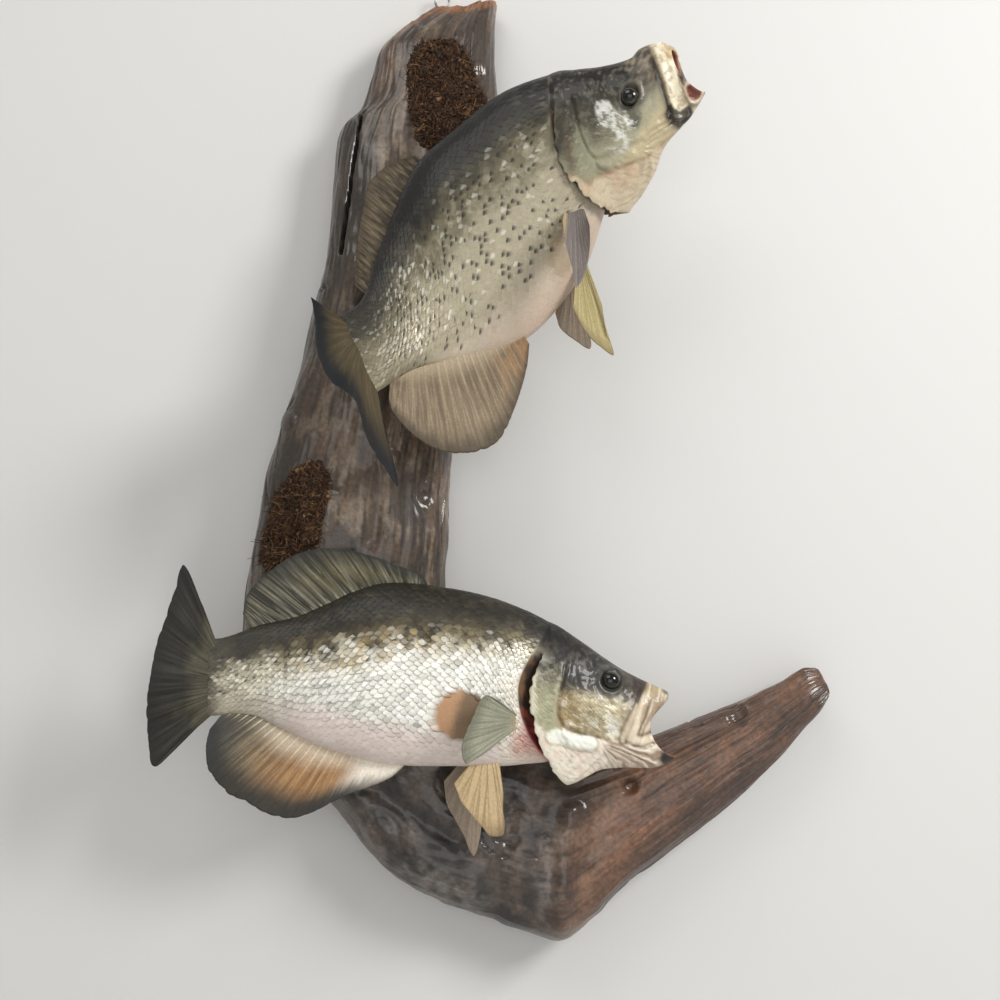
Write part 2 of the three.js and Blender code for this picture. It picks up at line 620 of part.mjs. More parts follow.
// ---- the wood, its moss and its hanger ----------------------------------------------------
const lowerRoom = moved(bodySolid(2 * GAP), placeLower)
  .add(moved(headSolid(HEAD, 2 * GAP), placeLower))
  .add(moved(finSheet(mirrored(PECTORAL, foldedBack), 2), placeLower));
const upperRoom = moved(bodySolid(2 * GAP, UPPER_AROUND), placeUpper);
const knot = ellipsoid([257.5, -42, -282], [7, 8, 4], [0.2, 0.5]);
const pit = ellipsoid([176, -50, -332], [6, 7, 8]);
const wood = biggest(woodSolid(0)
  .subtract(lowerRoom)
  .subtract(upperRoom)
  .subtract(wallBlock(SPLIT, 34, 70))
  .subtract(knot)
  .subtract(pit));
const stemRod = (grow) => {
  const rod = new THREE.CylinderGeometry(WIRE_RADIUS + grow, WIRE_RADIUS + grow, STEM + 2 * grow, 8);
  rod.rotateX(Math.PI / 2);
  rod.translate(LOOP_CENTRE[0], LOOP_CENTRE[1], LOOP_CENTRE[2] - LOOP_RADIUS - STEM / 2 + 0.4);
  return solid(rod);
};
const ringWire = new THREE.TorusGeometry(LOOP_RADIUS, WIRE_RADIUS, 6, 18);
ringWire.rotateX(Math.PI / 2).translate(...LOOP_CENTRE);
const hanger = solid(ringWire).add(stemRod(0));
addPiece('driftwood', shaped(biggest(wood.subtract(stemRod(GAP)))), 0x5d4a3f, 0.5);

const mossPad = (outline) => {
  const pad = woodSolid(MOSS_DEPTH).intersect(wallBlock(outline, 20, 80));
  return biggest(lumps(pad, 1.2).subtract(woodSolid(GAP)).subtract(upperRoom).subtract(lowerRoom));
};
addPiece('moss_top', shaped(mossPad(MOSS_TOP)), 0x3a2618, 0.95);
addPiece('moss_side', shaped(mossPad(MOSS_SIDE)), 0x3f2b1c, 0.95);
addPiece('hanger_loop', shaped(hanger), 0x8a8a86, 0.35, 1);

export default group;
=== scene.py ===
# %% [markdown]
# # Two mounted crappie on driftwood
# A trophy mount: one crappie lies level and curls its tail out from the wall, a second climbs
# above it, and both are fixed to a hooked piece of varnished driftwood. The solids of the frame
# hold the sizes. Here each of them gets its skin, its scales, its fin rays and its finish.

# %% Load the frame
import json
import math
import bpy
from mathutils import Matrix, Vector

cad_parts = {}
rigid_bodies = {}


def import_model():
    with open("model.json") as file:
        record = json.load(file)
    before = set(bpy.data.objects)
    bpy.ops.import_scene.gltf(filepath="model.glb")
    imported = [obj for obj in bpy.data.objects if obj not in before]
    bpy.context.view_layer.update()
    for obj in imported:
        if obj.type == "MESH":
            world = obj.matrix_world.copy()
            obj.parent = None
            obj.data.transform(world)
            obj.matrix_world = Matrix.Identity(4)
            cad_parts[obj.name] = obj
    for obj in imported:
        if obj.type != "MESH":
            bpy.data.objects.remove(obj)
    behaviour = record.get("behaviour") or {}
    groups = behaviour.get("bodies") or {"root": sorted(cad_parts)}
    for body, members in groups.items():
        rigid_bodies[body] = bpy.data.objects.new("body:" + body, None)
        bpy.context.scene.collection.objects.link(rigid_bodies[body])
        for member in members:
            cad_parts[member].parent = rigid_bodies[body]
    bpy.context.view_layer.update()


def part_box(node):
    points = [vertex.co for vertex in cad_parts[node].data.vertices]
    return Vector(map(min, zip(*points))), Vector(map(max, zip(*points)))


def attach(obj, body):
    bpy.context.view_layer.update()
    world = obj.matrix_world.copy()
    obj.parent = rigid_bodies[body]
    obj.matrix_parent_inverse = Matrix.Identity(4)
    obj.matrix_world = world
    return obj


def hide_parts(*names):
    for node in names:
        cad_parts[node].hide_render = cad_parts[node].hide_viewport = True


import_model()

from types import SimpleNamespace

import bpy
import numpy as np

for node_object in bpy.data.objects:
    node_object.select_set(False)

# %% [markdown]
# ## Working tools
# Every form here is a sheet of points worked out by a rule: a grid primitive is added, and its
# vertices are carried to their places. So the first tools are a smooth curve through a small
# table, soft steps, a smooth random field, and a way to turn a grid into a piece.

# %% Curves, steps and random fields
def curve(rows, column, x):
    """A smooth curve through one column of a table whose first column rises."""
    rows = np.asarray(rows, float)
    xs, ys = rows[:, 0], rows[:, column]
    x = np.asarray(x, float)
    i = np.clip(np.searchsorted(xs, x, side="left") - 1, 0, len(xs) - 2)
    before, after = np.maximum(i - 1, 0), np.minimum(i + 2, len(xs) - 1)
    span = xs[i + 1] - xs[i]
    start = (ys[i + 1] - ys[before]) / (xs[i + 1] - xs[before])
    end = (ys[after] - ys[i]) / (xs[after] - xs[i])
    t = (x - xs[i]) / span
    inside = ys[i] + t * t * (3 - 2 * t) * (ys[i + 1] - ys[i])
    inside = inside + span * t * (1 - t) * ((1 - t) * start - t * end)
    low = ys[i] + (x - xs[i]) * start
    high = ys[i + 1] + (x - xs[i + 1]) * end
    return np.where(t < 0, low, np.where(t > 1, high, inside))


def step(low, high, value):
    t = np.clip((np.asarray(value, float) - low) / (high - low), 0, 1)
    return t * t * (3 - 2 * t)


def bell(distance, width):
    return np.exp(-(np.asarray(distance, float) / width) ** 2)


def unit(vectors):
    return vectors / np.maximum(np.linalg.norm(vectors, axis=-1, keepdims=True), 1e-9)


def hashed(ix, iy, iz, seed):
    """A repeatable random number from 0 to 1 for each cell of a 3-D lattice."""
    n = (ix * 73856093) ^ (iy * 19349663) ^ (iz * 83492791) ^ (seed * 26544357)
    n = ((n ^ (n >> 13)) * 1274126177) & 0x7FFFFFFF
    n = ((n ^ (n >> 15)) * 668265263) & 0x7FFFFFFF
    return ((n ^ (n >> 12)) & 0xFFFFF) / 0xFFFFF


def field(points, size, seed=0):
    """A smooth random field from 0 to 1 over 3-D points; size may differ along each axis."""
    p = np.asarray(points, float) / size
    cell = np.floor(p).astype(np.int64)
    f = p - cell
    f = f * f * (3 - 2 * f)
    total = 0
    for dx in (0, 1):
        for dy in (0, 1):
            for dz in (0, 1):
                weight = np.abs(1 - dx - f[..., 0]) * np.abs(1 - dy - f[..., 1])
                weight = weight * np.abs(1 - dz - f[..., 2])
                corner = hashed(cell[..., 0] + dx, cell[..., 1] + dy, cell[..., 2] + dz, seed)
                total = total + weight * corner
    return total


def fractal(points, size, seed=0, levels=3):
    """The field with finer and weaker fields added to it."""
    total, weight = 0, 0
    for level in range(levels):
        share = 0.55 ** level
        total = total + share * field(points, np.asarray(size, float) / 2 ** level, seed + level)
        weight += share
    return total / weight


def spread_out(x, y, z, share):
    """Points for a field, with z shrunk so that the field changes less along it."""
    return np.stack(np.broadcast_arrays(x, y, z * share), -1)


print("field at the origin:", round(float(field(np.zeros(3), 1.0)), 3))

# %% Lines and colours
def line_distance(x, y, line):
    """Distance to a polyline, the share along it, and the side (+ on its left)."""
    line = np.asarray(line, float)
    lengths = np.hypot(*np.diff(line, axis=0).T)
    total = lengths.sum()
    nearest = np.full(np.shape(x), 1e9)
    share = np.zeros(np.shape(x))
    side = np.ones(np.shape(x))
    run = 0.0
    for (x0, y0), (x1, y1), length in zip(line[:-1], line[1:], lengths):
        dx, dy = (x1 - x0) / length, (y1 - y0) / length
        t = np.clip((x - x0) * dx + (y - y0) * dy, 0, length)
        away = np.hypot(x - x0 - t * dx, y - y0 - t * dy)
        cross = dx * (y - y0) - dy * (x - x0)
        closer = away < nearest
        nearest = np.where(closer, away, nearest)
        share = np.where(closer, (run + t) / total, share)
        side = np.where(closer, np.where(cross < 0, -1.0, 1.0), side)
        run += length
    return nearest, share, side


def away_from(x, y, line):
    return line_distance(x, y, line)[0]


def oval(x, y, middle, size):
    """Distance from the middle of an oval: 1 on its edge, at its half axes."""
    return np.hypot((x - middle[0]) / size[0], (y - middle[1]) / size[1])


def inside_depth(x, y, outline):
    """How deep a point lies inside a closed outline, negative outside it."""
    outline = np.asarray(outline, float)
    closed = np.vstack([outline, outline[:1]])
    away = away_from(x, y, closed)
    within = np.zeros(np.shape(x), bool)
    for (x0, y0), (x1, y1) in zip(closed[:-1], closed[1:]):
        crosses = (y0 > y) != (y1 > y)
        edge_x = x0 + (y - y0) * (x1 - x0) / (y1 - y0 if y1 != y0 else 1e-9)
        within ^= crosses & (x < edge_x)
    return np.where(within, away, -away)


def tone(red, green, blue):
    """A colour as a painter names it, 0 to 255, in the light the renderer works with."""
    c = np.array([red, green, blue], float) / 255
    return np.where(c <= 0.04045, c / 12.92, ((c + 0.055) / 1.055) ** 2.4)


def blend(base, colour, amount):
    """One colour over another, by an amount from 0 to 1. A tuple is a colour as named."""
    base, colour = (tone(*c) if isinstance(c, tuple) else c for c in (base, colour))
    amount = np.clip(np.asarray(amount, float), 0, 1)[..., None]
    return base * (1 - amount) + colour * amount


class Paint:
    """A blended colour, and the colours laid over it one after another."""

    def __init__(self, *first):
        self.mix = blend(*first)

    def lay(self, colour, amount):
        self.mix = blend(self.mix, colour, amount)
        return self.mix


print("mid grey:", tone(128, 128, 128).round(3))

# %% Grids made into pieces
SIDES = ((1, "right"), (-1, "left"))
MERGE_REACH = 0.00002       # vertices closer than this are one, m


def close_up(piece, turn_outwards=True):
    """Merge the places where the grid meets itself, and turn every face outwards."""
    bpy.ops.object.select_all(action="DESELECT")
    bpy.context.view_layer.objects.active = piece
    piece.select_set(True)
    bpy.ops.object.mode_set(mode="EDIT")
    bpy.ops.mesh.select_all(action="SELECT")
    bpy.ops.mesh.remove_doubles(threshold=MERGE_REACH)
    if turn_outwards:
        bpy.ops.mesh.normals_make_consistent(inside=False)
    bpy.ops.object.mode_set(mode="OBJECT")


def paint_piece(piece, colours, shine=None):
    """Store a colour, and how silvery it is, on every vertex."""
    mesh = piece.data
    layer = mesh.attributes.new("paint", "FLOAT_COLOR", "POINT")
    rgba = np.ones((len(mesh.vertices), 4))
    rgba[:, :3] = np.clip(colours.reshape(-1, 3), 0, 1)
    layer.data.foreach_set("color", rgba.ravel())
    if shine is not None:
        layer = mesh.attributes.new("silver", "FLOAT", "POINT")
        layer.data.foreach_set("value", np.clip(shine, 0, 1).ravel())


def set_map(piece, places):
    """An unwrap named OFBake, given by a place for each vertex."""
    mesh = piece.data
    uv = mesh.uv_layers.new(name="OFBake")
    corners = np.empty(len(mesh.loops), int)
    mesh.loops.foreach_get("vertex_index", corners)
    uv.data.foreach_set("uv", places.reshape(-1, 2)[corners].ravel())


def closed(rows):
    """Rows that end where they begin, to wrap a grid round."""
    return np.concatenate([rows, rows[:, :1]], 1)


def grid_piece(name, points, flip=False):
    """A grid primitive with as many vertices as the array, carried to its places (metres)."""
    rows, columns = points.shape[:2]
    bpy.ops.mesh.primitive_grid_add(x_subdivisions=columns - 1, y_subdivisions=rows - 1, size=1)
    piece = bpy.context.active_object
    piece.name = name
    piece.data.name = name
    piece.data.vertices.foreach_set("co", np.ascontiguousarray(points, np.float32).ravel())
    piece.data.uv_layers.remove(piece.data.uv_layers[0])
    if flip:
        piece.data.flip_normals()
    piece.data.shade_smooth()
    piece.data.update()
    return piece


def mesh_piece(name, points, *faces):
    """Many small forms in one mesh: points in metres, and arrays of faces by their corners."""
    mesh = bpy.data.meshes.new(name)
    every = [face for group in faces for face in group.tolist()]
    mesh.from_pydata(points.reshape(-1, 3).tolist(), [], every)
    piece = bpy.data.objects.new(name, mesh)
    bpy.context.scene.collection.objects.link(piece)
    return piece


def grid_faces(rows, columns, wrap=False):
    across = columns if wrap else columns - 1
    i, j = np.meshgrid(np.arange(rows - 1), np.arange(across), indexing="ij")
    k = (j + 1) % columns
    corners = (i * columns + j, i * columns + k, (i + 1) * columns + k, (i + 1) * columns + j)
    return np.stack(corners, -1).reshape(-1, 4)


def copied_faces(faces, corners, count):
    """The faces of one small form, for as many copies of it, each with its own corners."""
    every = faces[None] + corners * np.arange(count)[:, None, None]
    return every.reshape(-1, faces.shape[1])


def finish_piece(piece, nodes, material):
    """Give a piece its material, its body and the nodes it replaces."""
    piece.data.materials.clear()
    piece.data.materials.append(material)
    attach(piece, "root")
    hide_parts(*nodes)
    print(piece.name, len(piece.data.polygons), "faces")


# %% [markdown]
# ## A crappie, straight
# A fish is easiest to shape lying straight: x runs from the tail base to the lips, y up, and w
# out of its right flank. Each row below is one girth line round the body: its station, the top
# point, the bottom point, the half width, how far the flank sweeps back, and how sharply that
# sweep fades above and below. Between the trunk and the gill cover the rows fold inwards and back
# again, so the gill slit is part of one closed skin, and at the lips they turn into the mouth.

# %% The girth lines
SKIN_INSET = 0.6        # how far the skin lies under the tips of the scales, mm
SHOULDER = 238.0        # station where the trunk meets the gill slit
COVER_EDGE = 273.5      # station of the gill cover's free edge
LIPS = 352.2            # station of the lips
BODY_ROWS = [
    [-14, 25, -24.5, 0.6], [-7, 26, -25.5, 1.9], [-2, 27.6, -27.2, 3.7],
    [6, 28.2, -26.8, 6.4], [16, 31.6, -26, 8.4],
    [30, 37.2, -28.4, 10.6], [44, 40.6, -35.4, 12.8], [60, 45, -43, 15.4],
    [78, 52.9, -50.4, 18], [96, 61.3, -55.4, 20.6], [116, 67.5, -61, 23.2],
    [136, 67.8, -62.9, 25.2], [156, 65.8, -63.4, 26.6], [180, 62, -63.6, 27.4],
    [203, 55.6, -63.4, 27.4], [222, 48.2, -61.6, 26.6],
]
SWEEP_START = 188           # forward of this station the flank sweeps back
x_of = lambda s: max(s, 0.4 * s - 1.2)      # the rows crowd together inside the tail
STATIONS = [[s, x_of(s), back, x_of(s), belly, half, min(0, SWEEP_START - s) * 0.4, 4, 2]
            for s, back, belly, half in BODY_ROWS]
STATIONS += [
    [SHOULDER, 238, 40.3, 238, -60.2, 25.2, -21.5, 4, 2],
    [241, 238.8, 38.5, 239, -59, 24.4, -20.4, 4, 2],
    [245, 241, 34, 241, -55.5, 22, -16, 4, 2],
    [252, 254, 25, 252, -52, 18.4, -6, 4, 2],
    [257, 256, 26.5, 258, -57, 22.6, -10, 4, 1.8],
    [264, 248, 33.5, 254, -69, 26.6, -18.5, 4, 1.6],
    [270, 241.4, 38, 251.6, -75, 27.8, -20.4, 4, 1.5],
    [272, 239.6, 39.3, 251, -76.3, 28.6, -20.6, 4, 1.5],
    [COVER_EDGE, 240, 39.6, 252, -76.6, 29, -20, 4, 1.5],
    [279.5, 246, 36.6, 258, -74.5, 29.4, -20, 3.4, 1.6],
    [292.5, 257, 29.2, 273, -66.6, 28.2, -18, 3, 2],
    [303, 268, 21.6, 283, -64.8, 26.4, -14, 3, 2],
    [313, 279, 13.8, 292, -64.4, 23.6, -9, 2, 2],
    [322, 290, 6.6, 299, -64.6, 20.8, -4, 2, 2],
    [330.5, 300, 1.2, 306, -64.8, 18.2, -4, 2, 2],
    [341, 311, -4, 316, -63.8, 15.6, -10, 4, 1.3],
    [LIPS, 322.6, -9.4, 326.8, -58.8, 13.2, -16, 4, 1.3],
    [354.4, 323.6, -11.4, 327.6, -57.2, 11.4, -16.2, 4, 1.3],
    [357, 321.4, -13.2, 325, -55.6, 10.4, -15, 4, 1.3],
    [366, 311, -13.4, 312, -54.6, 11, -9, 3, 1.6],
    [384, 292, -18, 292, -48, 8.6, 0, 2, 2],
    [402, 274, -25, 274, -40, 4, 0, 2, 2],
    [408, 269, -31, 269, -33, 0.4, 0, 2, 2],
]


def with_gape(sweep, tuck):
    """The same rows with the lips swept less, and the shoulder drawn on under the cover."""
    rows = [list(row) for row in STATIONS]
    for row in rows:
        if abs(row[0] - LIPS) < 20:
            row[6] = row[6] * sweep
        if SHOULDER <= row[0] < SHOULDER + 12:
            row[6] = row[6] + tuck
    return rows


def girth(stations, s, angle):
    """Body-space points of the skin at station s and angle round it (0 back, pi belly)."""
    top_x, top_y, low_x, low_y, half, sweep, fade_up, fade_down = (
        curve(stations, column, s) for column in range(1, 9))
    share = (1 + np.cos(angle)) / 2
    side = np.abs(np.sin(angle))
    fade = np.where(share > 0.5, fade_up, fade_down)
    x = low_x + (top_x - low_x) * share + sweep * side ** fade
    y = low_y + SKIN_INSET + (top_y - low_y - 2 * SKIN_INSET) * share
    w = np.maximum(half - SKIN_INSET, 0.2) * side ** (1 + 0.16 * np.cos(angle))
    return np.stack([x, y, w * np.sign(np.sin(angle))], -1)


def skin_points(stations, s, angle):
    """The girth lines, with the gill fold closed up over the nape."""
    s, angle = np.broadcast_arrays(np.asarray(s, float), np.asarray(angle, float))
    points = girth(stations, s, angle)
    share = (1 + np.cos(angle)) / 2
    folded = ((s > SHOULDER) & (s < COVER_EDGE)) * step(0.7, 0.8, share)
    t = np.clip((s - SHOULDER) / (COVER_EDGE - SHOULDER), 0, 1)[..., None]
    first = girth(stations, np.full(s.shape, SHOULDER), angle)
    last = girth(stations, np.full(s.shape, COVER_EDGE), angle)
    bridge = first * (1 - t) + last * t
    return points * (1 - folded[..., None]) + bridge * folded[..., None]


print("stations:", len(STATIONS), "from", STATIONS[0][0], "to", STATIONS[-1][0])

# %% [markdown]
# ## Where each fish goes
# The lower fish is carried to the place of its trunk in the frame and curls out from the wall
# behind it. The upper fish is stretched over the two lines along which its back and its belly
# run up the wood, and rolled a little, its back out from the wall.

# %% Placing the lower fish
trunk_low, trunk_high = (np.array(corner) * 1000 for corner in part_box("trunk"))
TAIL_BEND_START = 62
TAIL_BEND = 0.00424
LOWER_ORIGIN = (trunk_low[0] - 62.3, (trunk_low[1] + trunk_high[1]) / 2, trunk_high[2] - 67.8)


def place_lower(points):
    x, y, w = np.moveaxis(points, -1, 0)
    behind = np.maximum(0, TAIL_BEND_START - x)
    slope = 2 * TAIL_BEND * behind
    length = np.hypot(1, slope)
    world = np.stack([LOWER_ORIGIN[0] + x + w * slope / length,
                      LOWER_ORIGIN[1] - TAIL_BEND * behind ** 2 - w / length,
                      LOWER_ORIGIN[2] + y], -1)
    return world / 1000


print("tail base of the lower fish, mm:", np.round(LOWER_ORIGIN, 1))

# %% Placing the upper fish
UPPER_BACK = [
    [2, -35.5, 2.5], [21.8, -20, 17.5], [57, -12, 48.5], [85, -2.5, 78], [118, 7.5, 105],
    [150, 21.5, 129.5], [185, 49.5, 154], [215, 82, 176.5], [240, 117.5, 188],
    [257, 134.5, 188.5], [279, 153.5, 189], [300, 174.5, 192.5], [306, 180.5, 198.5],
    [317, 195, 202.5], [322.6, 201.5, 198.5],
]
UPPER_BELLY = [
    [0, -8.5, -53.5], [30, 17, -34], [57, 37, -27], [88, 61.5, -21], [118, 85, -13.5],
    [150, 108, 1.5], [185, 129, 25], [212, 144, 50], [236, 158.5, 82.5], [244, 166.5, 87.5],
    [252, 177, 89.5], [273, 193.5, 113.5], [292, 200.5, 131.5], [306, 212, 144.5],
    [316, 219.5, 152], [326.8, 228.5, 166.5],
]
UPPER_STANDOFF = [
    [-60, 152], [-30, 140], [0, 122], [30, 108], [60, 98], [90, 91], [120, 88], [150, 87],
    [180, 88], [210, 92], [240, 99], [270, 108], [300, 118], [330, 128],
]
UPPER_ROLL = [[-40, 0], [30, 0], [100, 0.06], [180, 0.12], [240, 0.2], [290, 0.25], [330, 0.25]]
OUTLINE = [row[:3] for row in BODY_ROWS[1:]] + [
    [238, 40.6, -65], [252, 32.6, -76.6], [262, 25.8, -72.5], [273, 18.2, -66.6],
    [283, 11.4, -64.8], [292, 5.6, -64.4], [303, -0.4, -64.8], [316, -6.2, -63.8],
    [327, -11.2, -58.8],
]


def upper_midplane(x, y):
    back, belly = curve(OUTLINE, 1, x), curve(OUTLINE, 2, x)
    share = (y - belly) / (back - belly)
    across = curve(UPPER_BELLY, 1, x) * (1 - share) + curve(UPPER_BACK, 1, x) * share
    height = curve(UPPER_BELLY, 2, x) * (1 - share) + curve(UPPER_BACK, 2, x) * share
    lean = curve(UPPER_ROLL, 1, x) * (y - (back + belly) / 2)
    return np.stack([across, -curve(UPPER_STANDOFF, 1, x) - lean, height], -1)


def place_upper(points):
    x, y, w = np.moveaxis(points, -1, 0)
    forward = upper_midplane(x + 2, y) - upper_midplane(x - 2, y)
    up = upper_midplane(x, y + 2) - upper_midplane(x, y - 2)
    return (upper_midplane(x, y) + unit(np.cross(forward, up)) * w[..., None]) / 1000


print("lips of the upper fish, m:", place_upper(np.array([322.0, -12.0, 0.0])).round(3))

# %% [markdown]
# ## The relief of the head
# The bones under the skin of a crappie's head show: the cheek, the edge of the preopercle, the
# plate of the gill cover with its soft pleated border, the strap of the upper jaw. Each is drawn
# as a line or an outline on the side of the head, and lifts or sinks the skin around it.

# %% Landmarks of the heads
COVER_MARGIN = [(240, 19), (231, 8), (227.6, 0), (226.8, -14), (226.8, -31), (228.7, -44),
                (234.7, -57), (243.4, -67.5), (250, -76), (257, -75.5)]
PREOPERCLE = [(249.5, 9), (247.5, -1), (244.6, -11), (243.4, -25), (246.2, -33), (256, -37.8),
              (269.7, -40.6), (280, -45)]
OPERCLE_BORDER = [(222, -27), (230, -31.5), (234.5, -37), (238.4, -38.6), (241.2, -35)]
CHIN_PLATE = [(240.6, -40.2), (247, -40.8), (256, -44.5), (266, -46)]
JAW_HINGE = (270.0, -43.5)
RING_SIZE = (4.6, 8.0)      # half axes of the pursed lips
LOWER_HEAD = {
    "eye": (281.6, -2.3), "eye_radius": 7.0, "stretch": (1.0, 1.0), "ring": None,
    "groove": 1.1,
    "upper_jaw": [(309.6, -1), (305, -8.6), (301.6, -15.6), (298.6, -25), (293.6, -35.5),
                  (291, -42.5), (293, -45.6), (303.6, -48.4), (310, -45.6), (340, -44),
                  (340, 4)],
    "jaw_flap": [(300.4, -20), (296.6, -27), (291.6, -36.4), (289.6, -43)],
    "snout_edge": [(309.4, -2.9), (303.1, -9.4), (296.1, -15.4), (285.5, -20.5), (275, -17)],
}


def stretch_at(x, y):
    """How much the upper fish is stretched along and across its body at a place."""
    ends = place_upper(np.array([[x + 1, y, 0], [x - 1, y, 0], [x, y + 1, 0], [x, y - 1, 0.0]]))
    return tuple(np.linalg.norm(ends[[0, 2]] - ends[[1, 3]], axis=1) * 500)


UPPER_HEAD = {
    "eye": (288.0, -18.7), "eye_radius": 7.1, "stretch": stretch_at(288.0, -18.7),
    "ring": (322.5, -50.0), "groove": 0.45,
    "upper_jaw": [(310.5, -5), (309.6, -16), (309, -24), (308, -34), (305.5, -45.5),
                  (303.4, -55), (306.5, -61.6), (314, -61.5), (317, -55), (317.5, -40),
                  (323, -28), (340, -20), (340, 4)],
    "jaw_flap": [(307, -22), (305.5, -33), (303, -45), (301.4, -53)],
    "snout_edge": [(306, -5), (304, -16), (301.5, -26), (297, -36), (288, -42)],
}


def eye_reach(x, y, head):
    """Distance from the middle of the eye, true to the placed fish, and the turn round it."""
    dx = (x - head["eye"][0]) * head["stretch"][0]
    dy = (y - head["eye"][1]) * head["stretch"][1]
    return np.hypot(dx, dy), np.arctan2(dy, dx)


def pleats(x, y, w):
    """Folds that run beside the free edge of the gill membrane, from -1 to 1."""
    from_margin = away_from(x, y, COVER_MARGIN)
    spread = spread_out(x, y, w, 0.2)
    wander = fractal(spread, (13, 9, 12), 83, 3) - 0.5
    fold = np.sin(from_margin * 1.15 + 0.16 * x + 24 * wander)
    fold = fold + 0.35 * np.sin(from_margin * 2.9 - 0.2 * y + 18 * wander)
    return fold * (0.1 + 1.3 * field(spread, 8, 89)), from_margin


def jaw_folds(x, y):
    """Folds that fan out from the hinge of the jaw, from -1 to 1, and where they lie."""
    reach = np.hypot(x - JAW_HINGE[0], y - JAW_HINGE[1])
    turn = np.degrees(np.arctan2(y - JAW_HINGE[1], x - JAW_HINGE[0]))
    wander = fractal(spread_out(turn, reach, turn, 0), (13, 16, 9), 85, 3) - 0.5
    within = step(5, 13, reach) * step(58, 46, reach) * step(-3, -8, turn) * step(-66, -44, turn)
    return np.sin(turn * 0.62 + 13 * wander) * (0.7 + 1.4 * wander), within


def head_relief(x, y, w, head):
    """How far the skin is lifted, in mm, on the side of the head."""
    flank = step(3, 8, np.abs(w))
    on_head = step(236, 246, x + 0.25 * np.minimum(0, y + 20))
    lift = np.zeros(np.shape(x))
    fold, from_margin = pleats(x, y, w)
    away, _, side = line_distance(x, y, PREOPERCLE)
    lift -= head["groove"] * bell(away, 1.1)
    lift += 0.9 * bell(away - 2.6, 1.8) * (side > 0)
    away, share, _ = line_distance(x, y, OPERCLE_BORDER)
    lift -= 0.8 * bell(away, 0.9) * (share > 0.02)
    pleated = step(-30, -38, y) * step(266, 248, x)
    lift += pleated * 0.85 * fold * step(0.3, 2.5, from_margin)
    lift += 2.1 * step(5.2, 2.4, away_from(x, y, CHIN_PLATE))
    cheek = oval(x, y, (262, -20), (15, 14))
    lift += 0.9 * step(1, 0.2, cheek)
    ribs, fan = jaw_folds(x, y)
    lift += 0.9 * fan * ribs
    spread = spread_out(x, y, w, 0.2)
    wander = fractal(spread, 12, 87, 2) - 0.5
    throat = step(-48, -56, y) * step(244, 254, x) * step(286, 270, x)
    lift += 0.9 * throat * np.sin((x - y) * 0.62 + 9 * wander) * (1 - fan)
    depth = inside_depth(x, y, head["upper_jaw"])
    lift += 1.8 * step(-0.2, 1.8, depth) - 1.1 * bell(depth + 1.0, 1.1)
    lift -= 0.9 * bell(depth - 6.5, 2.2) * step(-18, -26, y)
    lift += 1.1 * bell(away_from(x, y, head["jaw_flap"]), 1.7)
    lift -= 0.5 * bell(away_from(x, y, head["snout_edge"]), 0.9)
    out, turn = eye_reach(x, y, head)
    radius = head["eye_radius"]
    lift += 0.9 * bell(out - radius - 1.7, 1.5) - 1.8 * step(radius + 0.4, radius - 1.2, out)
    creases = np.sin(turn * 11 + 8 * wander) * bell(out - radius - 6, 3.0)
    lift += 0.22 * creases - 0.2 * bell(out - radius - 5.0, 1.2)
    for dx, dy in ((17.5, 3.2), (13.6, 5.4)):
        nostril = np.hypot(x - head["eye"][0] - dx, y - head["eye"][1] - dy)
        lift -= 1.1 * bell(nostril, 0.9)
    if head["ring"]:
        ring = oval(x, y, head["ring"], RING_SIZE)
        lift += 1.3 * bell(ring - 1.25, 0.3) - 2.6 * step(1.05, 0.6, ring)
    lift += 0.9 * (fractal(spread, 5.0, 7) - 0.5) + 0.45 * (field(spread, 1.6, 9) - 0.5)
    return lift * flank * on_head


print("relief beside the eye, mm:", head_relief(np.array([292.0]), np.array([-2.0]),
                                                np.array([15.0]), LOWER_HEAD).round(2))

# %% [markdown]
# ## The markings
# White crappie are silver with an olive back. The paint is worked out from where a point lies on
# the straight fish, so that the skin and the scales over it carry the same markings. The paint
# also holds some light and shade: painted shadows beside the pectoral fins, painted shade in
# folds, slits and hollows, and painted glints.

# %% Colours of the lower fish
DARK_EDGE = [[0, 2], [39, 11], [91, 21], [135, 29], [179, 28], [214, 23], [240, 20]]
PALE_EDGE = [[0, -10], [33, -15.5], [66, -19], [110, -29], [162, -38], [214, -46], [240, -50]]
# Middle of the pectoral fin's painted shadow on the right flank, mm.
FIN_SHADOW_SPOT = (176, -26)


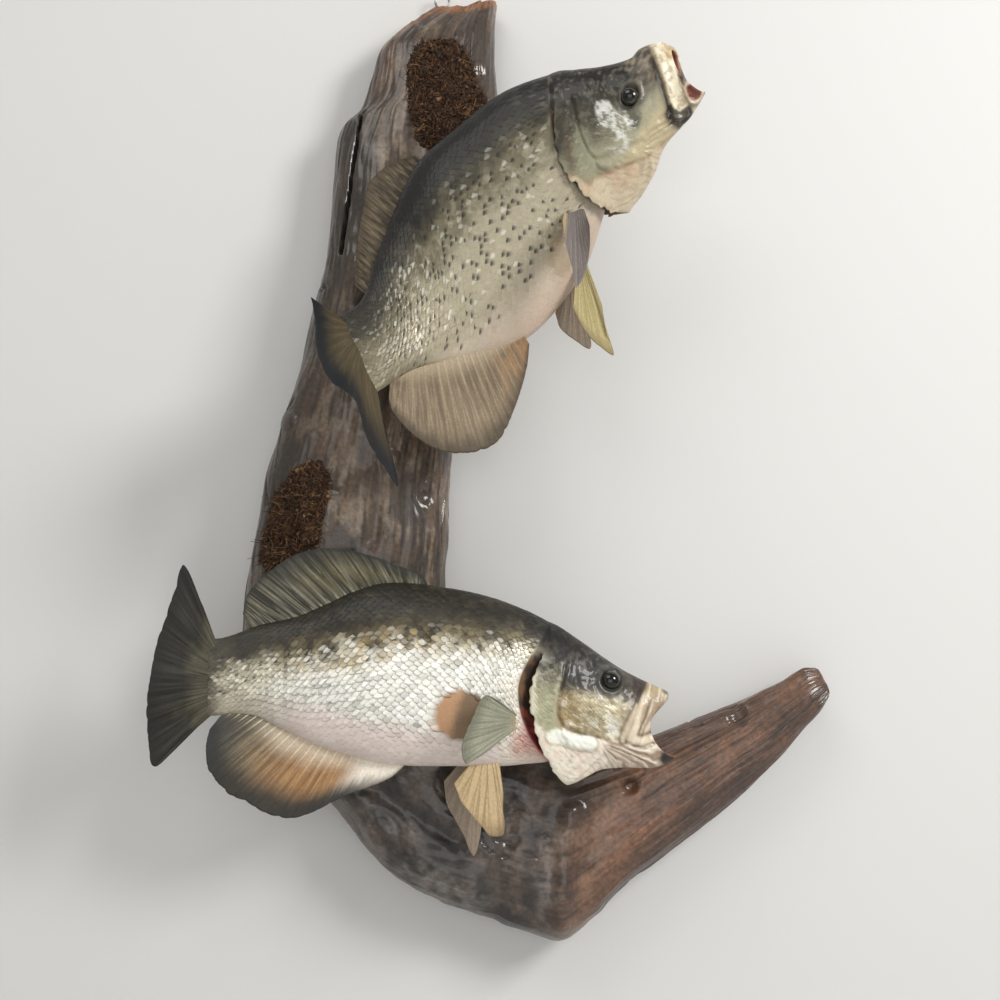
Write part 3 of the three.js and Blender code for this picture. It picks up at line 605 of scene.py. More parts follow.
def lower_trunk_paint(x, y, w):
    spread = spread_out(x, y, w, 0.3)
    rough = fractal(spread, (13, 9, 9), 3) - 0.5
    fine = field(spread, (4.6, 3.6, 4), 5) - 0.5
    dark_line, pale_line = curve(DARK_EDGE, 1, x), curve(PALE_EDGE, 1, x)
    height = y - dark_line - 1.5 + 15 * rough + 8 * fine
    colour = Paint((240, 239, 231), (206, 201, 182), step(-20, -6, height))
    colour.lay((140, 129, 100), step(-9, 2, height))
    colour.lay((72, 65, 50), step(-2, 8, height))
    colour.lay((36, 33, 26), step(4, 20, height))
    dash = fractal(spread, (4.2, 2.0, 3), 6, 2) - 0.5
    colour.lay((94, 85, 64), 0.3 * step(0.06, 0.2, dash) * step(-2, 8, height))
    gold = bell(x - 112, 44) * bell(y - dark_line + 7, 10)
    colour.lay((190, 163, 113), 0.8 * gold * step(-0.25, 0.1, rough + fine))
    low = pale_line - y + 7 * rough
    colour.lay((222, 209, 203), step(-7, 6, low))
    colour.lay((214, 200, 193), step(4, 18, low) * step(205, 170, x))
    stem = step(72, 14, x)
    olive = blend((176, 171, 148), (40, 37, 28), step(-9, 8, height))
    olive = blend(olive, (150, 146, 124), step(-8, -20, y))
    colour.lay(olive, 0.8 * stem)
    colour.lay((76, 71, 57), step(15, -4, x - 24 * rough) * 0.95)
    colour.lay((58, 54, 44), step(-2, -10, x - 9 * rough) * 0.9)
    fleck = step(0.6, 0.72, field(spread, (4.6, 5.6, 6), 21)) * step(-15, -3, height)
    colour.lay((36, 34, 29), 0.75 * fleck * step(26, 14, height))
    # The round patch beside the pectoral fin is the fin's painted shadow: tan, left without
    # scales, with deeper painted shade over its right part, under the fin.
    away = oval(x, y, FIN_SHADOW_SPOT, (18.5, 18)) + 0.16 * rough + 0.05 * fine
    bare = step(1.05, 0.9, away) * (w > 0)
    shade = step(169, 176, x - 0.35 * (y + 26) + 8 * rough)
    fin_shadow_paint = blend((188, 146, 110), (128, 105, 80), shade)
    colour.lay(fin_shadow_paint, bare)
    shoulder = step(196, 214, x + 8 * rough) * step(12, -6, y)
    colour.lay((228, 219, 200), 0.6 * shoulder * (1 - bare))
    blush = step(207, 219, x + 6 * rough) * bell(y + 44, 11)
    colour.lay((196, 122, 112), 0.75 * blush)
    silver = step(14, -8, height) * step(6, -6, low) * (1 - 0.3 * stem) * (1 - 0.6 * shoulder)
    silver = silver * step(-6, 10, x)
    return colour.mix, np.clip(silver * (1 - bare) + 0.25 * gold, 0, 1)


def slit_paint(s, y):
    """The rim and inside of the gill slit: brown above, red below, painted shade within."""
    rim = blend((104, 74, 46), (118, 56, 44), step(-10, -26, y))
    rim = blend(rim, (156, 60, 62), step(-26, -38, y))
    rim = blend(rim, (208, 164, 154), step(-50, -58, y))
    deep = blend((40, 27, 19), (78, 22, 24), step(-24, -40, y))
    shade_blotch = fractal(spread_out(s, y, y, 0), (5, 6, 9), 19, 3) - 0.5
    # Blotches of the painted shade are spread over the rim.
    rim = blend(rim, deep, 0.75 * step(-0.02, 0.16, shade_blotch))
    return blend(rim, deep, step(240, 245, s + 9 * shade_blotch))


def lower_head_paint(x, y, w):
    spread = spread_out(x, y, w, 0.3)
    rough = fractal(spread, 9, 13) - 0.5
    fine = fractal(spread, 2.6, 15, 2) - 0.5
    back = curve(OUTLINE, 1, x)
    eye_out = eye_reach(x, y, LOWER_HEAD)[0]
    colour = Paint((90, 81, 66), (38, 34, 30), step(-14, 0, y + 10 * rough))
    colour.lay((20, 18, 15), step(24, 6, back - y + 8 * rough))
    colour.lay((84, 78, 68), 0.4 * step(0.06, 0.18, fine) * step(-10, 4, y))
    # Painted glints: a blue-grey patch above the cheek, broken up by noise.
    temple_glints = step(241, 250, x) * step(280, 266, x) * step(2, 9, y) * step(24, 11, y - 0.2 * x + 56)
    colour.lay((124, 122, 117), 0.5 * temple_glints * step(0.04, 0.14, fine))
    cheek = step(-6, -17, y + 12 * rough) * step(302, 286, x) * step(240, 247, x)
    gold = blend((158, 138, 96), (188, 177, 146), step(252, 270, x + 40 * fine))
    colour.lay(gold, cheek)
    # Painted glints: near-white flecks over the cheek.
    colour.lay((238, 235, 220), cheek * 0.8 * step(0.03, 0.2, 0.7 * fine + 1.2 * rough))
    colour.lay((112, 96, 72), cheek * 0.5 * step(-0.05, -0.18, fine + 0.4 * rough))
    colour.lay((190, 198, 196), cheek * 0.5 * bell(y + 33, 5)
               * step(256, 266, x) * step(-0.05, 0.1, fine))
    orbit = step(18, 8.5, eye_out + 10 * rough)
    colour.lay(blend((52, 52, 47), (84, 82, 74), 0.4 + 3 * fine), 0.92 * orbit)
    colour.lay((30, 30, 27), 0.6 * bell(eye_out - 7.2, 1.3))
    snout = step(284, 292, x) * step(-22, -12, y + 6 * rough)
    dusk = blend((54, 47, 42), (86, 75, 67), 0.4 + 3 * fine)
    colour.lay(dusk, snout * (1 - 0.8 * orbit))
    away, _, side = line_distance(x, y, PREOPERCLE)
    cover = step(0.5, -1.5, away * side) * (x < 262) * step(12, 1, y + 12 * rough)
    plate = blend((166, 164, 134), (84, 80, 66), step(-14, 4, y + 14 * rough))
    plate = blend(plate, (192, 188, 162), step(0.02, 0.14, fine + 0.5 * rough) * 0.5)
    colour.lay(plate, cover)
    edge = bell(away - 1.4, 1.5) * step(-6, -16, y) * step(-0.16, 0.1, rough + fine)
    colour.lay((160, 122, 82), 0.6 * edge)
    colour.lay((72, 60, 48), 0.45 * bell(away, 0.8) * step(8, -2, y))
    below = inside_depth(x, y, [(200, -26), (228, -31), (234.5, -37), (238.4, -38.6),
                                (242, -34.5), (256, -38.8), (270, -41), (290, -45),
                                (340, -47), (340, -110), (200, -110)])
    fold, from_margin = pleats(x, y, w)
    # The pleated membrane is cream, with painted shade in the troughs of its folds.
    cream = blend((238, 230, 214), (172, 154, 134), 0.6 * step(-0.1, -1, fold))
    cream = blend(cream, (222, 196, 178), 0.5 * step(0, 0.2, rough))
    colour.lay(cream, step(-1.2, 1.6, below + 3 * fine))
    fringe = bell(from_margin, 1.5 + 1.4 * (rough + 0.5)) * step(10, 0, y)
    colour.lay((226, 220, 198), 0.8 * fringe)
    away = away_from(x, y, CHIN_PLATE)
    colour.lay((242, 243, 232), step(5.8, 3.6, away + 3 * fine))
    colour.lay((150, 128, 104), 0.5 * bell(away - 5.9, 0.8) * step(0, 1.5, below))
    ribs, fan = jaw_folds(x, y)
    colour.lay((176, 156, 136), 0.7 * fan)
    # Painted shade in the troughs of the jaw folds, and a painted highlight on their crests.
    colour.lay((142, 120, 100), 0.75 * fan * step(0.1, -0.6, ribs))
    colour.lay((244, 238, 226), 0.5 * fan * step(0.3, 0.9, ribs))
    depth = inside_depth(x, y, LOWER_HEAD["upper_jaw"])
    lie = spread_out(0.93 * x - 0.36 * y, 0.36 * x + 0.93 * y, x, 0)
    streaks = fractal(lie, (1.9, 15, 9), 17, 2) - 0.5
    strap = blend((214, 200, 177), (164, 144, 120), step(3, 9, depth + 8 * rough))
    strap = blend(strap, (172, 154, 118), step(-16, -7, y + 10 * rough))
    strap = blend(strap, (236, 227, 208), 0.5 * step(0.0, 0.2, streaks + 0.4 * rough))
    strap = blend(strap, (140, 118, 92), 0.45 * step(-0.04, -0.24, streaks + 0.5 * rough))
    colour.lay(strap, step(-0.4, 0.8, depth))
    flap = away_from(x, y, LOWER_HEAD["jaw_flap"])
    colour.lay((206, 188, 164), 0.8 * bell(flap, 2.2))
    colour.lay((80, 62, 47), 0.8 * bell(flap - 2.9, 0.9) * step(-18, -25, y)
               * step(0.5, -0.5, depth))
    colour.lay((62, 50, 41), 0.85 * bell(depth + 0.7, 1.0) * step(-46, -40, y)
               * step(1.5, 3.5, flap))
    colour.lay((92, 72, 54), 0.75 * bell(depth - 7.5, 1.0) * step(-10, -20, y))
    tip = oval(x, y, (325, -57), (8, 5.5)) + 0.7 * rough
    colour.lay((104, 84, 68), 0.7 * step(1.6, 1.0, tip))
    colour.lay((40, 32, 28), step(1.1, 0.7, tip))
    lip = oval(x, y, (322.5, -9.6), (4, 3))
    colour.lay((70, 58, 48), 0.8 * step(1.2, 0.6, lip))
    silver = cheek * 0.35 + 0.4 * temple_glints + 0.08 * cover
    return colour.mix, np.clip(silver * (1 - step(-1, 1.4, below)), 0, 1)


def head_share(s, x, y):
    """How far the colours of the head have taken over from those of the trunk."""
    nape = step(214, 236, x + 0.5 * (y - 30))
    return np.where(s > COVER_EDGE - 3, np.maximum(nape, step(16, 9, y)),
                    np.where(s > SHOULDER, nape, nape * step(14, 22, y)))


def whole_paint(trunk_paint, head_paint, slit, slit_rim, mouth, gullet_shade, gullet_shade_start):
    """Join the paints of the trunk, the head, the gill slit and the mouth."""
    def paint(s, points):
        x, y, w = np.moveaxis(points, -1, 0)
        body, silver = trunk_paint(x, y, w)
        head, head_silver = head_paint(x, y, w)
        on_head = head_share(s, x, y)
        colour = Paint(body, head, on_head)
        silver = silver * (1 - on_head) + head_silver * on_head
        within = step(*slit_rim, s) * step(COVER_EDGE, COVER_EDGE - 3, s)
        within = within * step(0.84, 0.78, (y - COVER_LOW) / COVER_HEIGHT)
        colour.lay(slit(s, y), within)
        on_mouth = step(LIPS + 1.5, LIPS + 6, s)
        colour.lay(mouth, on_mouth)
        # The gullet, deep in the mouth, is darkened as painted shade.
        colour.lay(gullet_shade, step(gullet_shade_start, LIPS + 44, s))
        return colour.mix, silver * (1 - within) * (1 - on_mouth)
    return paint


COVER_LOW, COVER_HEIGHT = -76.6, 116.2      # bottom and height of the gill cover's edge, mm
lower_paint = whole_paint(lower_trunk_paint, lower_head_paint, slit_paint,
                          (SHOULDER - 3, SHOULDER), (168, 112, 96), (60, 30, 28), LIPS + 14)
print("back and belly:", lower_trunk_paint(np.array([120.0, 120.0]), np.array([60.0, -50.0]),
                                           np.array([5.0, 8.0]))[0].round(2).tolist())

# %% Colours of the upper fish
UPPER_DARK_EDGE = [[0, 14], [60, 26], [110, 36], [160, 36], [210, 26], [240, 14]]


def upper_trunk_paint(x, y, w):
    spread = spread_out(x, y, w, 0.3)
    rough = fractal(spread, (15, 10, 10), 43) - 0.5
    fine = field(spread, (4.6, 3.4, 4), 45) - 0.5
    height = y - curve(UPPER_DARK_EDGE, 1, x) + 18 * rough + 9 * fine
    colour = Paint((164, 155, 133), (112, 106, 85), step(-38, -12, height))
    grain = fractal(spread, (4.4, 2.6, 3), 47, 2) - 0.5
    colour.lay((86, 80, 62), 0.5 * step(0.04, 0.22, grain) * step(-40, -20, height))
    colour.lay((182, 175, 152), 0.5 * step(-0.05, -0.2, grain))
    colour.lay((60, 55, 41), step(-16, 2, height))
    colour.lay((9, 8, 4), step(-3, 14, height))
    low = -38 - y + 8 * rough
    colour.lay((192, 178, 160), step(-8, 10, low))
    colour.lay((190, 170, 152), step(8, 22, low))
    stem = step(58, 10, x)
    olive = blend((112, 103, 80), (40, 37, 28), step(-4, 16, y + 10 * rough))
    colour.lay(olive, 0.75 * stem)
    speck = step(0.6, 0.74, field(spread, (5, 8, 9), 53)) * step(-8, 16, height)
    colour.lay((40, 37, 30), 0.4 * speck)
    # A painted shadow of the pectoral fin on the right flank.
    shade = oval(x, y, (198, -44), (15, 12))
    colour.lay((150, 130, 104), 0.6 * step(1.1, 0.8, shade) * (w > 0))
    silver = 0.7 * step(8, -12, height) * step(10, -6, low) * (1 - 0.5 * stem)
    return colour.mix, np.clip(silver, 0, 1)


UPPER_GLINTS = [(264, -7), (268.5, -20), (267, -28.5), (263.5, -36)]
UPPER_COVER_LINE = [(212, -12), (228.5, -23.5), (234, -37.5), (252, -46), (268, -51), (288, -59),
                    (300, -63)]
UPPER_GILL_SHADE = [(234.5, -5), (231, -11), (229, -18)]
UPPER_LOBE = [(304, -50), (308.5, -59.5), (315.5, -60.5)]


def upper_head_paint(x, y, w):
    spread = spread_out(x, y, w, 0.3)
    rough = fractal(spread, 9, 61) - 0.5
    fine = fractal(spread, 2.8, 63, 2) - 0.5
    back = curve(OUTLINE, 1, x)
    eye_out = eye_reach(x, y, UPPER_HEAD)[0]
    colour = Paint((154, 150, 126), (60, 56, 45), step(-35, -7, y + 18 * rough))
    colour.lay((16, 14, 10), step(36, 10, back - y + 12 * rough))
    colour.lay((112, 106, 90), 0.5 * step(0.06, 0.2, fine) * step(-30, -10, y))
    plate = step(256, 244, x + 8 * rough) * step(-2, -14, y + 8 * rough)
    colour.lay((140, 139, 114), 0.8 * plate)
    orbit = step(16, 8.5, eye_out + 9 * rough)
    colour.lay(blend((54, 52, 46), (98, 94, 82), 0.4 + 3 * fine), 0.9 * orbit)
    colour.lay((32, 30, 26), 0.6 * bell(eye_out - 7.2, 1.3))
    under = oval(x, y, (283, -32), (7, 6))
    colour.lay((62, 60, 55), 0.8 * step(1.2, 0.5, under + rough))
    jowl = step(-36, -48, y + 14 * rough) * step(250, 264, x)
    colour.lay((186, 173, 140), 0.9 * jowl)
    glint = away_from(x, y, UPPER_GLINTS) + 10 * rough
    bright = step(7.5, 4, glint) * step(-0.12, 0.06, fine)
    bright = np.maximum(bright, step(1.2, 0.7, oval(x, y, (278, -27), (3, 4)) + 3 * fine))
    colour.lay((226, 226, 219), 0.8 * bright)
    away, _, side = line_distance(x, y, UPPER_COVER_LINE)
    below = step(-1.5, 1.5, -away * side + 3 * fine)
    # The pleated membrane is cream, with painted shade in the troughs of its folds.
    cream = blend((196, 182, 156), (150, 133, 109), 0.5 * step(0.1, -1, pleats(x, y, w)[0]))
    cream = blend(cream, (194, 162, 134), 0.5 * step(0.0, 0.2, rough))
    colour.lay(cream, below)
    colour.lay((146, 118, 86), 0.55 * bell(away, 1.3) * step(-0.2, 0.1, rough))
    brown = bell(away_from(x, y, UPPER_GILL_SHADE), 3.0)
    colour.lay((84, 62, 46), 0.8 * brown * step(-0.2, 0.05, rough + 0.1))
    ribs, fan = jaw_folds(x, y)
    # Painted shade in the troughs of the jaw folds.
    colour.lay((170, 146, 118), 0.6 * fan * step(0, -0.9, ribs))
    snout = step(292, 300, x) * step(-38, -14, y + 12 * rough)
    dusk = blend((74, 68, 60), (146, 132, 112), 0.35 + 3 * fine)
    colour.lay(dusk, snout * (1 - 0.8 * orbit))
    depth = inside_depth(x, y, UPPER_HEAD["upper_jaw"])
    strap = blend((196, 176, 140), (234, 226, 202), bell(depth - 4.5, 3.2))
    strap = blend(strap, (158, 132, 98), 0.6 * step(0.02, 0.16, fine))
    strap = blend(strap, (90, 76, 64), step(-6, 4, y + 12 * rough))
    colour.lay(strap, step(-0.4, 0.8, depth))
    colour.lay((36, 29, 25), 0.95 * bell(depth + 1.4, 2.1) * step(-8, -20, y))
    lobe = away_from(x, y, UPPER_LOBE)
    colour.lay((44, 36, 31), 0.9 * step(4.6, 2.6, lobe + 4 * fine))
    ring = oval(x, y, UPPER_HEAD["ring"], RING_SIZE)
    lips = step(316.5, 318.5, x) * step(-38, -42, y)
    colour.lay((206, 190, 164), lips)
    colour.lay((104, 92, 80), 0.8 * bell(ring - 1.3, 0.22))
    colour.lay((112, 62, 50), step(1.0, 0.7, ring))
    silver = 0.6 * bright + 0.12
    return colour.mix, np.clip(silver * (1 - below), 0, 1)


def upper_slit_paint(s, y):
    # Painted shade inside the gill slit, darker lower down and paler at its foot.
    inside = blend((70, 54, 42), (40, 30, 24), step(0, -20, y))
    return blend(inside, (140, 116, 94), step(-54, -66, y))


upper_paint = whole_paint(upper_trunk_paint, upper_head_paint, upper_slit_paint,
                          (SHOULDER - 1, SHOULDER + 1.5), (150, 78, 66), (66, 34, 30), LIPS + 16)
print("upper flank:", upper_trunk_paint(np.array([120.0]), np.array([0.0]),
                                        np.array([25.0]))[0].round(2).tolist())

# %% [markdown]
# ## Finishes
# Mounted fish are varnished, so every finish has a thin clear coat. The colour comes from the
# paint stored on the piece, broken up by fine noise. Where the paint is silvery, the surface is
# partly metallic and smoother, which gives the glints of the flank.

# %% Small node helpers and the skin finish
def new_material(name, roughness, coat, coat_roughness=0.08, gloss=0.35):
    material = bpy.data.materials.new(name)
    material.use_nodes = True
    tree = material.node_tree
    shader = tree.nodes["Principled BSDF"]
    shader.inputs["Roughness"].default_value = roughness
    shader.inputs["Specular IOR Level"].default_value = gloss
    shader.inputs["Coat Weight"].default_value = coat
    shader.inputs["Coat Roughness"].default_value = coat_roughness
    return material, tree, shader


def add_node(tree, kind, **values):
    """A shader node, with its inputs set by name."""
    node = tree.nodes.new("ShaderNode" + kind)
    for name, value in values.items():
        node.inputs[name.replace("_", " ")].default_value = value
    return node


def attribute_output(tree, name, output):
    node = add_node(tree, "Attribute")
    node.attribute_name = name
    return node.outputs[output]


def noise_node(tree, scale, detail=3.0):
    coordinates = add_node(tree, "TexCoord")
    noise = add_node(tree, "TexNoise", Scale=scale, Detail=detail)
    tree.links.new(coordinates.outputs["Object"], noise.inputs["Vector"])
    return noise


def broken_paint(tree, shader, scale, amount):
    """The stored paint, darkened and lightened by noise before it reaches the shader."""
    noise = noise_node(tree, scale, 4.0)
    spread = add_node(tree, "MapRange", From_Min=0.3, From_Max=0.7,
                      To_Min=1 - amount, To_Max=1 + amount)
    tree.links.new(noise.outputs["Fac"], spread.inputs["Value"])
    mixed = add_node(tree, "VectorMath")
    mixed.operation = "SCALE"
    tree.links.new(attribute_output(tree, "paint", "Color"), mixed.inputs[0])
    tree.links.new(spread.outputs["Result"], mixed.inputs["Scale"])
    tree.links.new(mixed.outputs["Vector"], shader.inputs["Base Color"])


def add_bump(tree, shader, noise, depth, strength):
    bump = add_node(tree, "Bump", Distance=depth, Strength=strength)
    tree.links.new(noise.outputs["Fac"], bump.inputs["Height"])
    tree.links.new(bump.outputs["Normal"], shader.inputs["Normal"])


def skin_finish(name, metal, rough_dull, rough_bright, speckle, coat):
    material, tree, shader = new_material(name, rough_dull, coat)
    broken_paint(tree, shader, 900, speckle)
    silver = attribute_output(tree, "silver", "Fac")
    for target, dull, bright in (("Metallic", 0, metal),
                                 ("Roughness", rough_dull, rough_bright)):
        spread = add_node(tree, "MapRange", To_Min=dull, To_Max=bright)
        tree.links.new(silver, spread.inputs["Value"])
        tree.links.new(spread.outputs["Result"], shader.inputs[target])
    add_bump(tree, shader, noise_node(tree, 1400), 0.0003, 0.5)
    return material


skin_material = skin_finish("varnished skin", 0.25, 0.46, 0.28, 0.09, 0.25)
scale_material = skin_finish("varnished scales", 0.36, 0.46, 0.2, 0.07, 0.14)
print("finishes:", skin_material.name, scale_material.name)

# %% [markdown]
# ## The skin
# A grid is wrapped round the girth lines. Its two long edges meet along the back and are merged,
# and its ends close to points inside the tail and the throat. The relief of the head then moves
# each vertex along its own normal.

# %% Wrapping the grid round the fish
def grid_normals(points):
    """Outward unit normals of a grid whose first axis runs to the head."""
    around = np.roll(points, -1, 1) - np.roll(points, 1, 1)
    return unit(np.cross(around, np.gradient(points, axis=0)))


def dressed_points(stations, head, s, angles):
    """The skin with its relief, in body space."""
    rows = s[:, None]
    points = skin_points(stations, rows, angles[None, :])
    normals = grid_normals(points)
    x, y, w = np.moveaxis(points, -1, 0)
    frayed = fractal(spread_out(y, rows, y, 0), (3.4, 30, 9), 79, 2) - 0.5
    edge = step(COVER_EDGE - 5, COVER_EDGE - 0.5, rows) * step(COVER_EDGE + 5, COVER_EDGE, rows)
    points[..., 0] += 4.2 * frayed * edge * step(3, 10, np.abs(w)) * step(-72, -62, y)
    lift = head_relief(x, y, w, head) * step(COVER_EDGE - 2, COVER_EDGE + 1.5, rows)
    lift = lift * step(LIPS + 1.5, LIPS - 1.5, rows)
    swell = step(SHOULDER, 220, rows) * step(-12, 6, rows)
    lift = lift + 0.9 * (fractal(points, (34, 22, 20), 77) - 0.5) * swell
    return points + normals * lift[..., None]


SKIN_STATIONS = np.concatenate([np.arange(-14, 236, 2.2), np.arange(236, COVER_EDGE, 0.9),
                                np.arange(COVER_EDGE, LIPS + 6, 0.75), np.arange(359, 408.1, 1.6)])
SKIN_AROUND = 184
MAP_START, MAP_LENGTH, MAP_EDGE = -15, 425, 0.02    # first station, stations and margin


def skin_map(s, turn):
    """The unwrap of the skin: its length across, its girth up."""
    places = np.stack([(s - MAP_START) / MAP_LENGTH, turn], -1)
    return MAP_EDGE + (1 - 2 * MAP_EDGE) * places


def make_skin(name, fish):
    angles = np.arange(SKIN_AROUND) / SKIN_AROUND * 2 * np.pi
    points = dressed_points(fish.stations, fish.head, SKIN_STATIONS, angles)
    colours, silver = fish.paint(SKIN_STATIONS[:, None], points)
    first = np.repeat(points[:1].mean(1, keepdims=True), SKIN_AROUND, 1)
    last = np.repeat(points[-1:].mean(1, keepdims=True), SKIN_AROUND, 1)
    points = np.concatenate([first, points, last])
    ends = lambda rows: np.concatenate([rows[:1], rows, rows[-1:]])
    piece = grid_piece(name, fish.place(closed(points)), flip=True)
    paint_piece(piece, closed(ends(colours)), closed(ends(silver)))
    stations_s = ends(SKIN_STATIONS)[:, None]
    turn = np.linspace(0, 1, SKIN_AROUND + 1)[None, :]
    set_map(piece, skin_map(*np.broadcast_arrays(stations_s, turn)))
    close_up(piece, turn_outwards=False)
    return piece


lower_fish = SimpleNamespace(stations=with_gape(1.0, 0.0), head=LOWER_HEAD, place=place_lower,
                             paint=lower_paint)
skin = make_skin("skin", lower_fish)
finish_piece(skin, ["trunk", "tail_stem", "head", "gill_cover_right", "gill_cover_left",
                    "upper_jaw", "lower_jaw"], skin_material)

# %% [markdown]
# ## The scales
# Each scale is a small rounded shingle, rooted under the one ahead of it and free at its tail
# end, with a rim that drops back to the skin. Rows run along the fish from the lateral line up
# and down, offset by half a scale, and end where the back and the belly close. One shingle is
# worked out, and every copy is bent over the skin where it lies.

# %% Laying shingles on the skin
AROUND = 144                # steps from the back to the belly


class Coat:
    """The skin of one side, laid out by station and by arc length from the back, in mm."""

    def __init__(self, fish, side, first, last, spacing):
        self.side, self.place, self.paint = side, fish.place, fish.paint
        self.s = np.arange(first, last + spacing / 2, spacing)
        whole_turn = np.linspace(0, 2 * np.pi, 2 * AROUND + 1)[:-1]
        order = np.arange(AROUND + 1) * side % (2 * AROUND)
        points = dressed_points(fish.stations, fish.head, self.s, whole_turn)[:, order]
        steps = np.linalg.norm(np.diff(points, axis=1), axis=-1)
        lengths = np.concatenate([np.zeros((len(self.s), 1)), np.cumsum(steps, 1)], 1)
        self.girth = lengths[:, -1]
        self.turns = np.empty(lengths.shape)
        self.points = np.empty_like(points)
        even = np.linspace(0, 1, AROUND + 1)
        for i, row in enumerate(lengths):
            for k in range(3):
                self.points[i, :, k] = np.interp(even * row[-1], row, points[i, :, k])
            self.turns[i] = np.interp(even * row[-1], row, even * 0.5)
        along = np.gradient(self.points, axis=0)
        around = np.gradient(self.points, axis=1) * side
        self.normals = unit(np.cross(around, along))

    def look_up(self, table, s, arc):
        i = np.clip((s - self.s[0]) / (self.s[1] - self.s[0]), 0, len(self.s) - 1.001)
        girth = np.interp(s, self.s, self.girth)
        j = np.clip(arc / girth * AROUND, 0, AROUND - 0.001)
        i0, j0 = np.floor(i).astype(int), np.floor(j).astype(int)
        fi, fj = (i - i0), (j - j0)
        if table.ndim == 3:
            fi, fj = fi[..., None], fj[..., None]
        return ((table[i0, j0] * (1 - fi) + table[i0 + 1, j0] * fi) * (1 - fj)
                + (table[i0, j0 + 1] * (1 - fi) + table[i0 + 1, j0 + 1] * fi) * fj)


# Places of a shingle's vertices. The last row and the outer columns are its rim, and drop.
SHINGLE_ALONG = np.array([0.0, 0.3, 0.55, 0.78, 0.93, 1.0, 1.0])
SHINGLE_ACROSS = np.array([-1.0, -1.0, -0.5, 0.0, 0.5, 1.0, 1.0])
RIM = np.zeros((len(SHINGLE_ALONG), len(SHINGLE_ACROSS)), bool)
RIM[:, [0, -1]] = True
RIM[-1, :] = True


def shingle_width(t):
    return np.where(t < 0.45, 0.88 + 0.12 * t / 0.45,
                    np.sqrt(np.clip(1 - ((t - 0.45) / 0.56) ** 2, 0.0, 1)))


def lay_scales(name, coat, roots, lengths, widths, lifts, seed, relief, flecked=None):
    """Bend one shingle over the skin at each root (station, arc from the back)."""
    spot = (roots[:, 0] - 0.7 * lengths)[:, None, None]
    middle = coat.look_up(coat.points, spot, roots[:, 1][:, None, None])
    crisp = relief(middle[..., 0], middle[..., 1])
    lifts = lifts * crisp[:, 0, 0]
    rng = np.random.default_rng(seed)
    count = len(roots)
    t, c = SHINGLE_ALONG[None, :, None], SHINGLE_ACROSS[None, None, :]
    yaw = rng.normal(0, 0.05, (count, 1, 1))
    length = lengths[:, None, None] * rng.uniform(0.94, 1.06, (count, 1, 1))
    width = widths[:, None, None] * rng.uniform(0.95, 1.05, (count, 1, 1))
    lift = lifts[:, None, None] * rng.uniform(0.7, 1.3, (count, 1, 1))
    tilt = rng.normal(0, 0.22, (count, 1, 1)) * lift
    dome = rng.uniform(0.1, 0.5, (count, 1, 1))
    spill = 0.16 * (1 - crisp) * RIM[None]
    across = c * width * (shingle_width(t) + spill)
    reach = length * (t + spill * (t > 0.99))
    s = roots[:, 0][:, None, None] - reach * np.cos(yaw) + across * np.sin(yaw)
    arc = roots[:, 1][:, None, None] + across * np.cos(yaw) + reach * np.sin(yaw)
    s, arc = np.broadcast_arrays(s, arc)
    base = coat.look_up(coat.points, s, arc)
    normals = coat.look_up(coat.normals, s, arc)
    height = -0.3 * lift + 1.3 * lift * t ** 1.2 - 0.3 * lift * c ** 2 + tilt * c
    height = height + dome * lift * np.sin(np.pi * t)
    height = np.where(RIM[None], height - 0.06 - 0.49 * crisp - 0.3 * lift, height)
    points = base + normals * height[..., None]
    faces = copied_faces(grid_faces(*RIM.shape)[:, ::-coat.side], RIM.size, count)
    piece = mesh_piece(name, coat.place(points), faces)
    piece.data.shade_smooth()
    paint_piece(piece, *scale_colours(coat, rng, spot, middle, s, base, crisp, flecked))
    turn = coat.look_up(coat.turns, roots[:, 0], roots[:, 1])
    turn = turn if coat.side > 0 else 1 - turn
    home = skin_map(roots[:, 0], turn)[:, None, None, :]
    patch = np.stack(np.broadcast_arrays(0.003 * (0.5 - t), 0.0015 * c), -1)
    set_map(piece, (home + patch).reshape(-1, 2))
    return piece


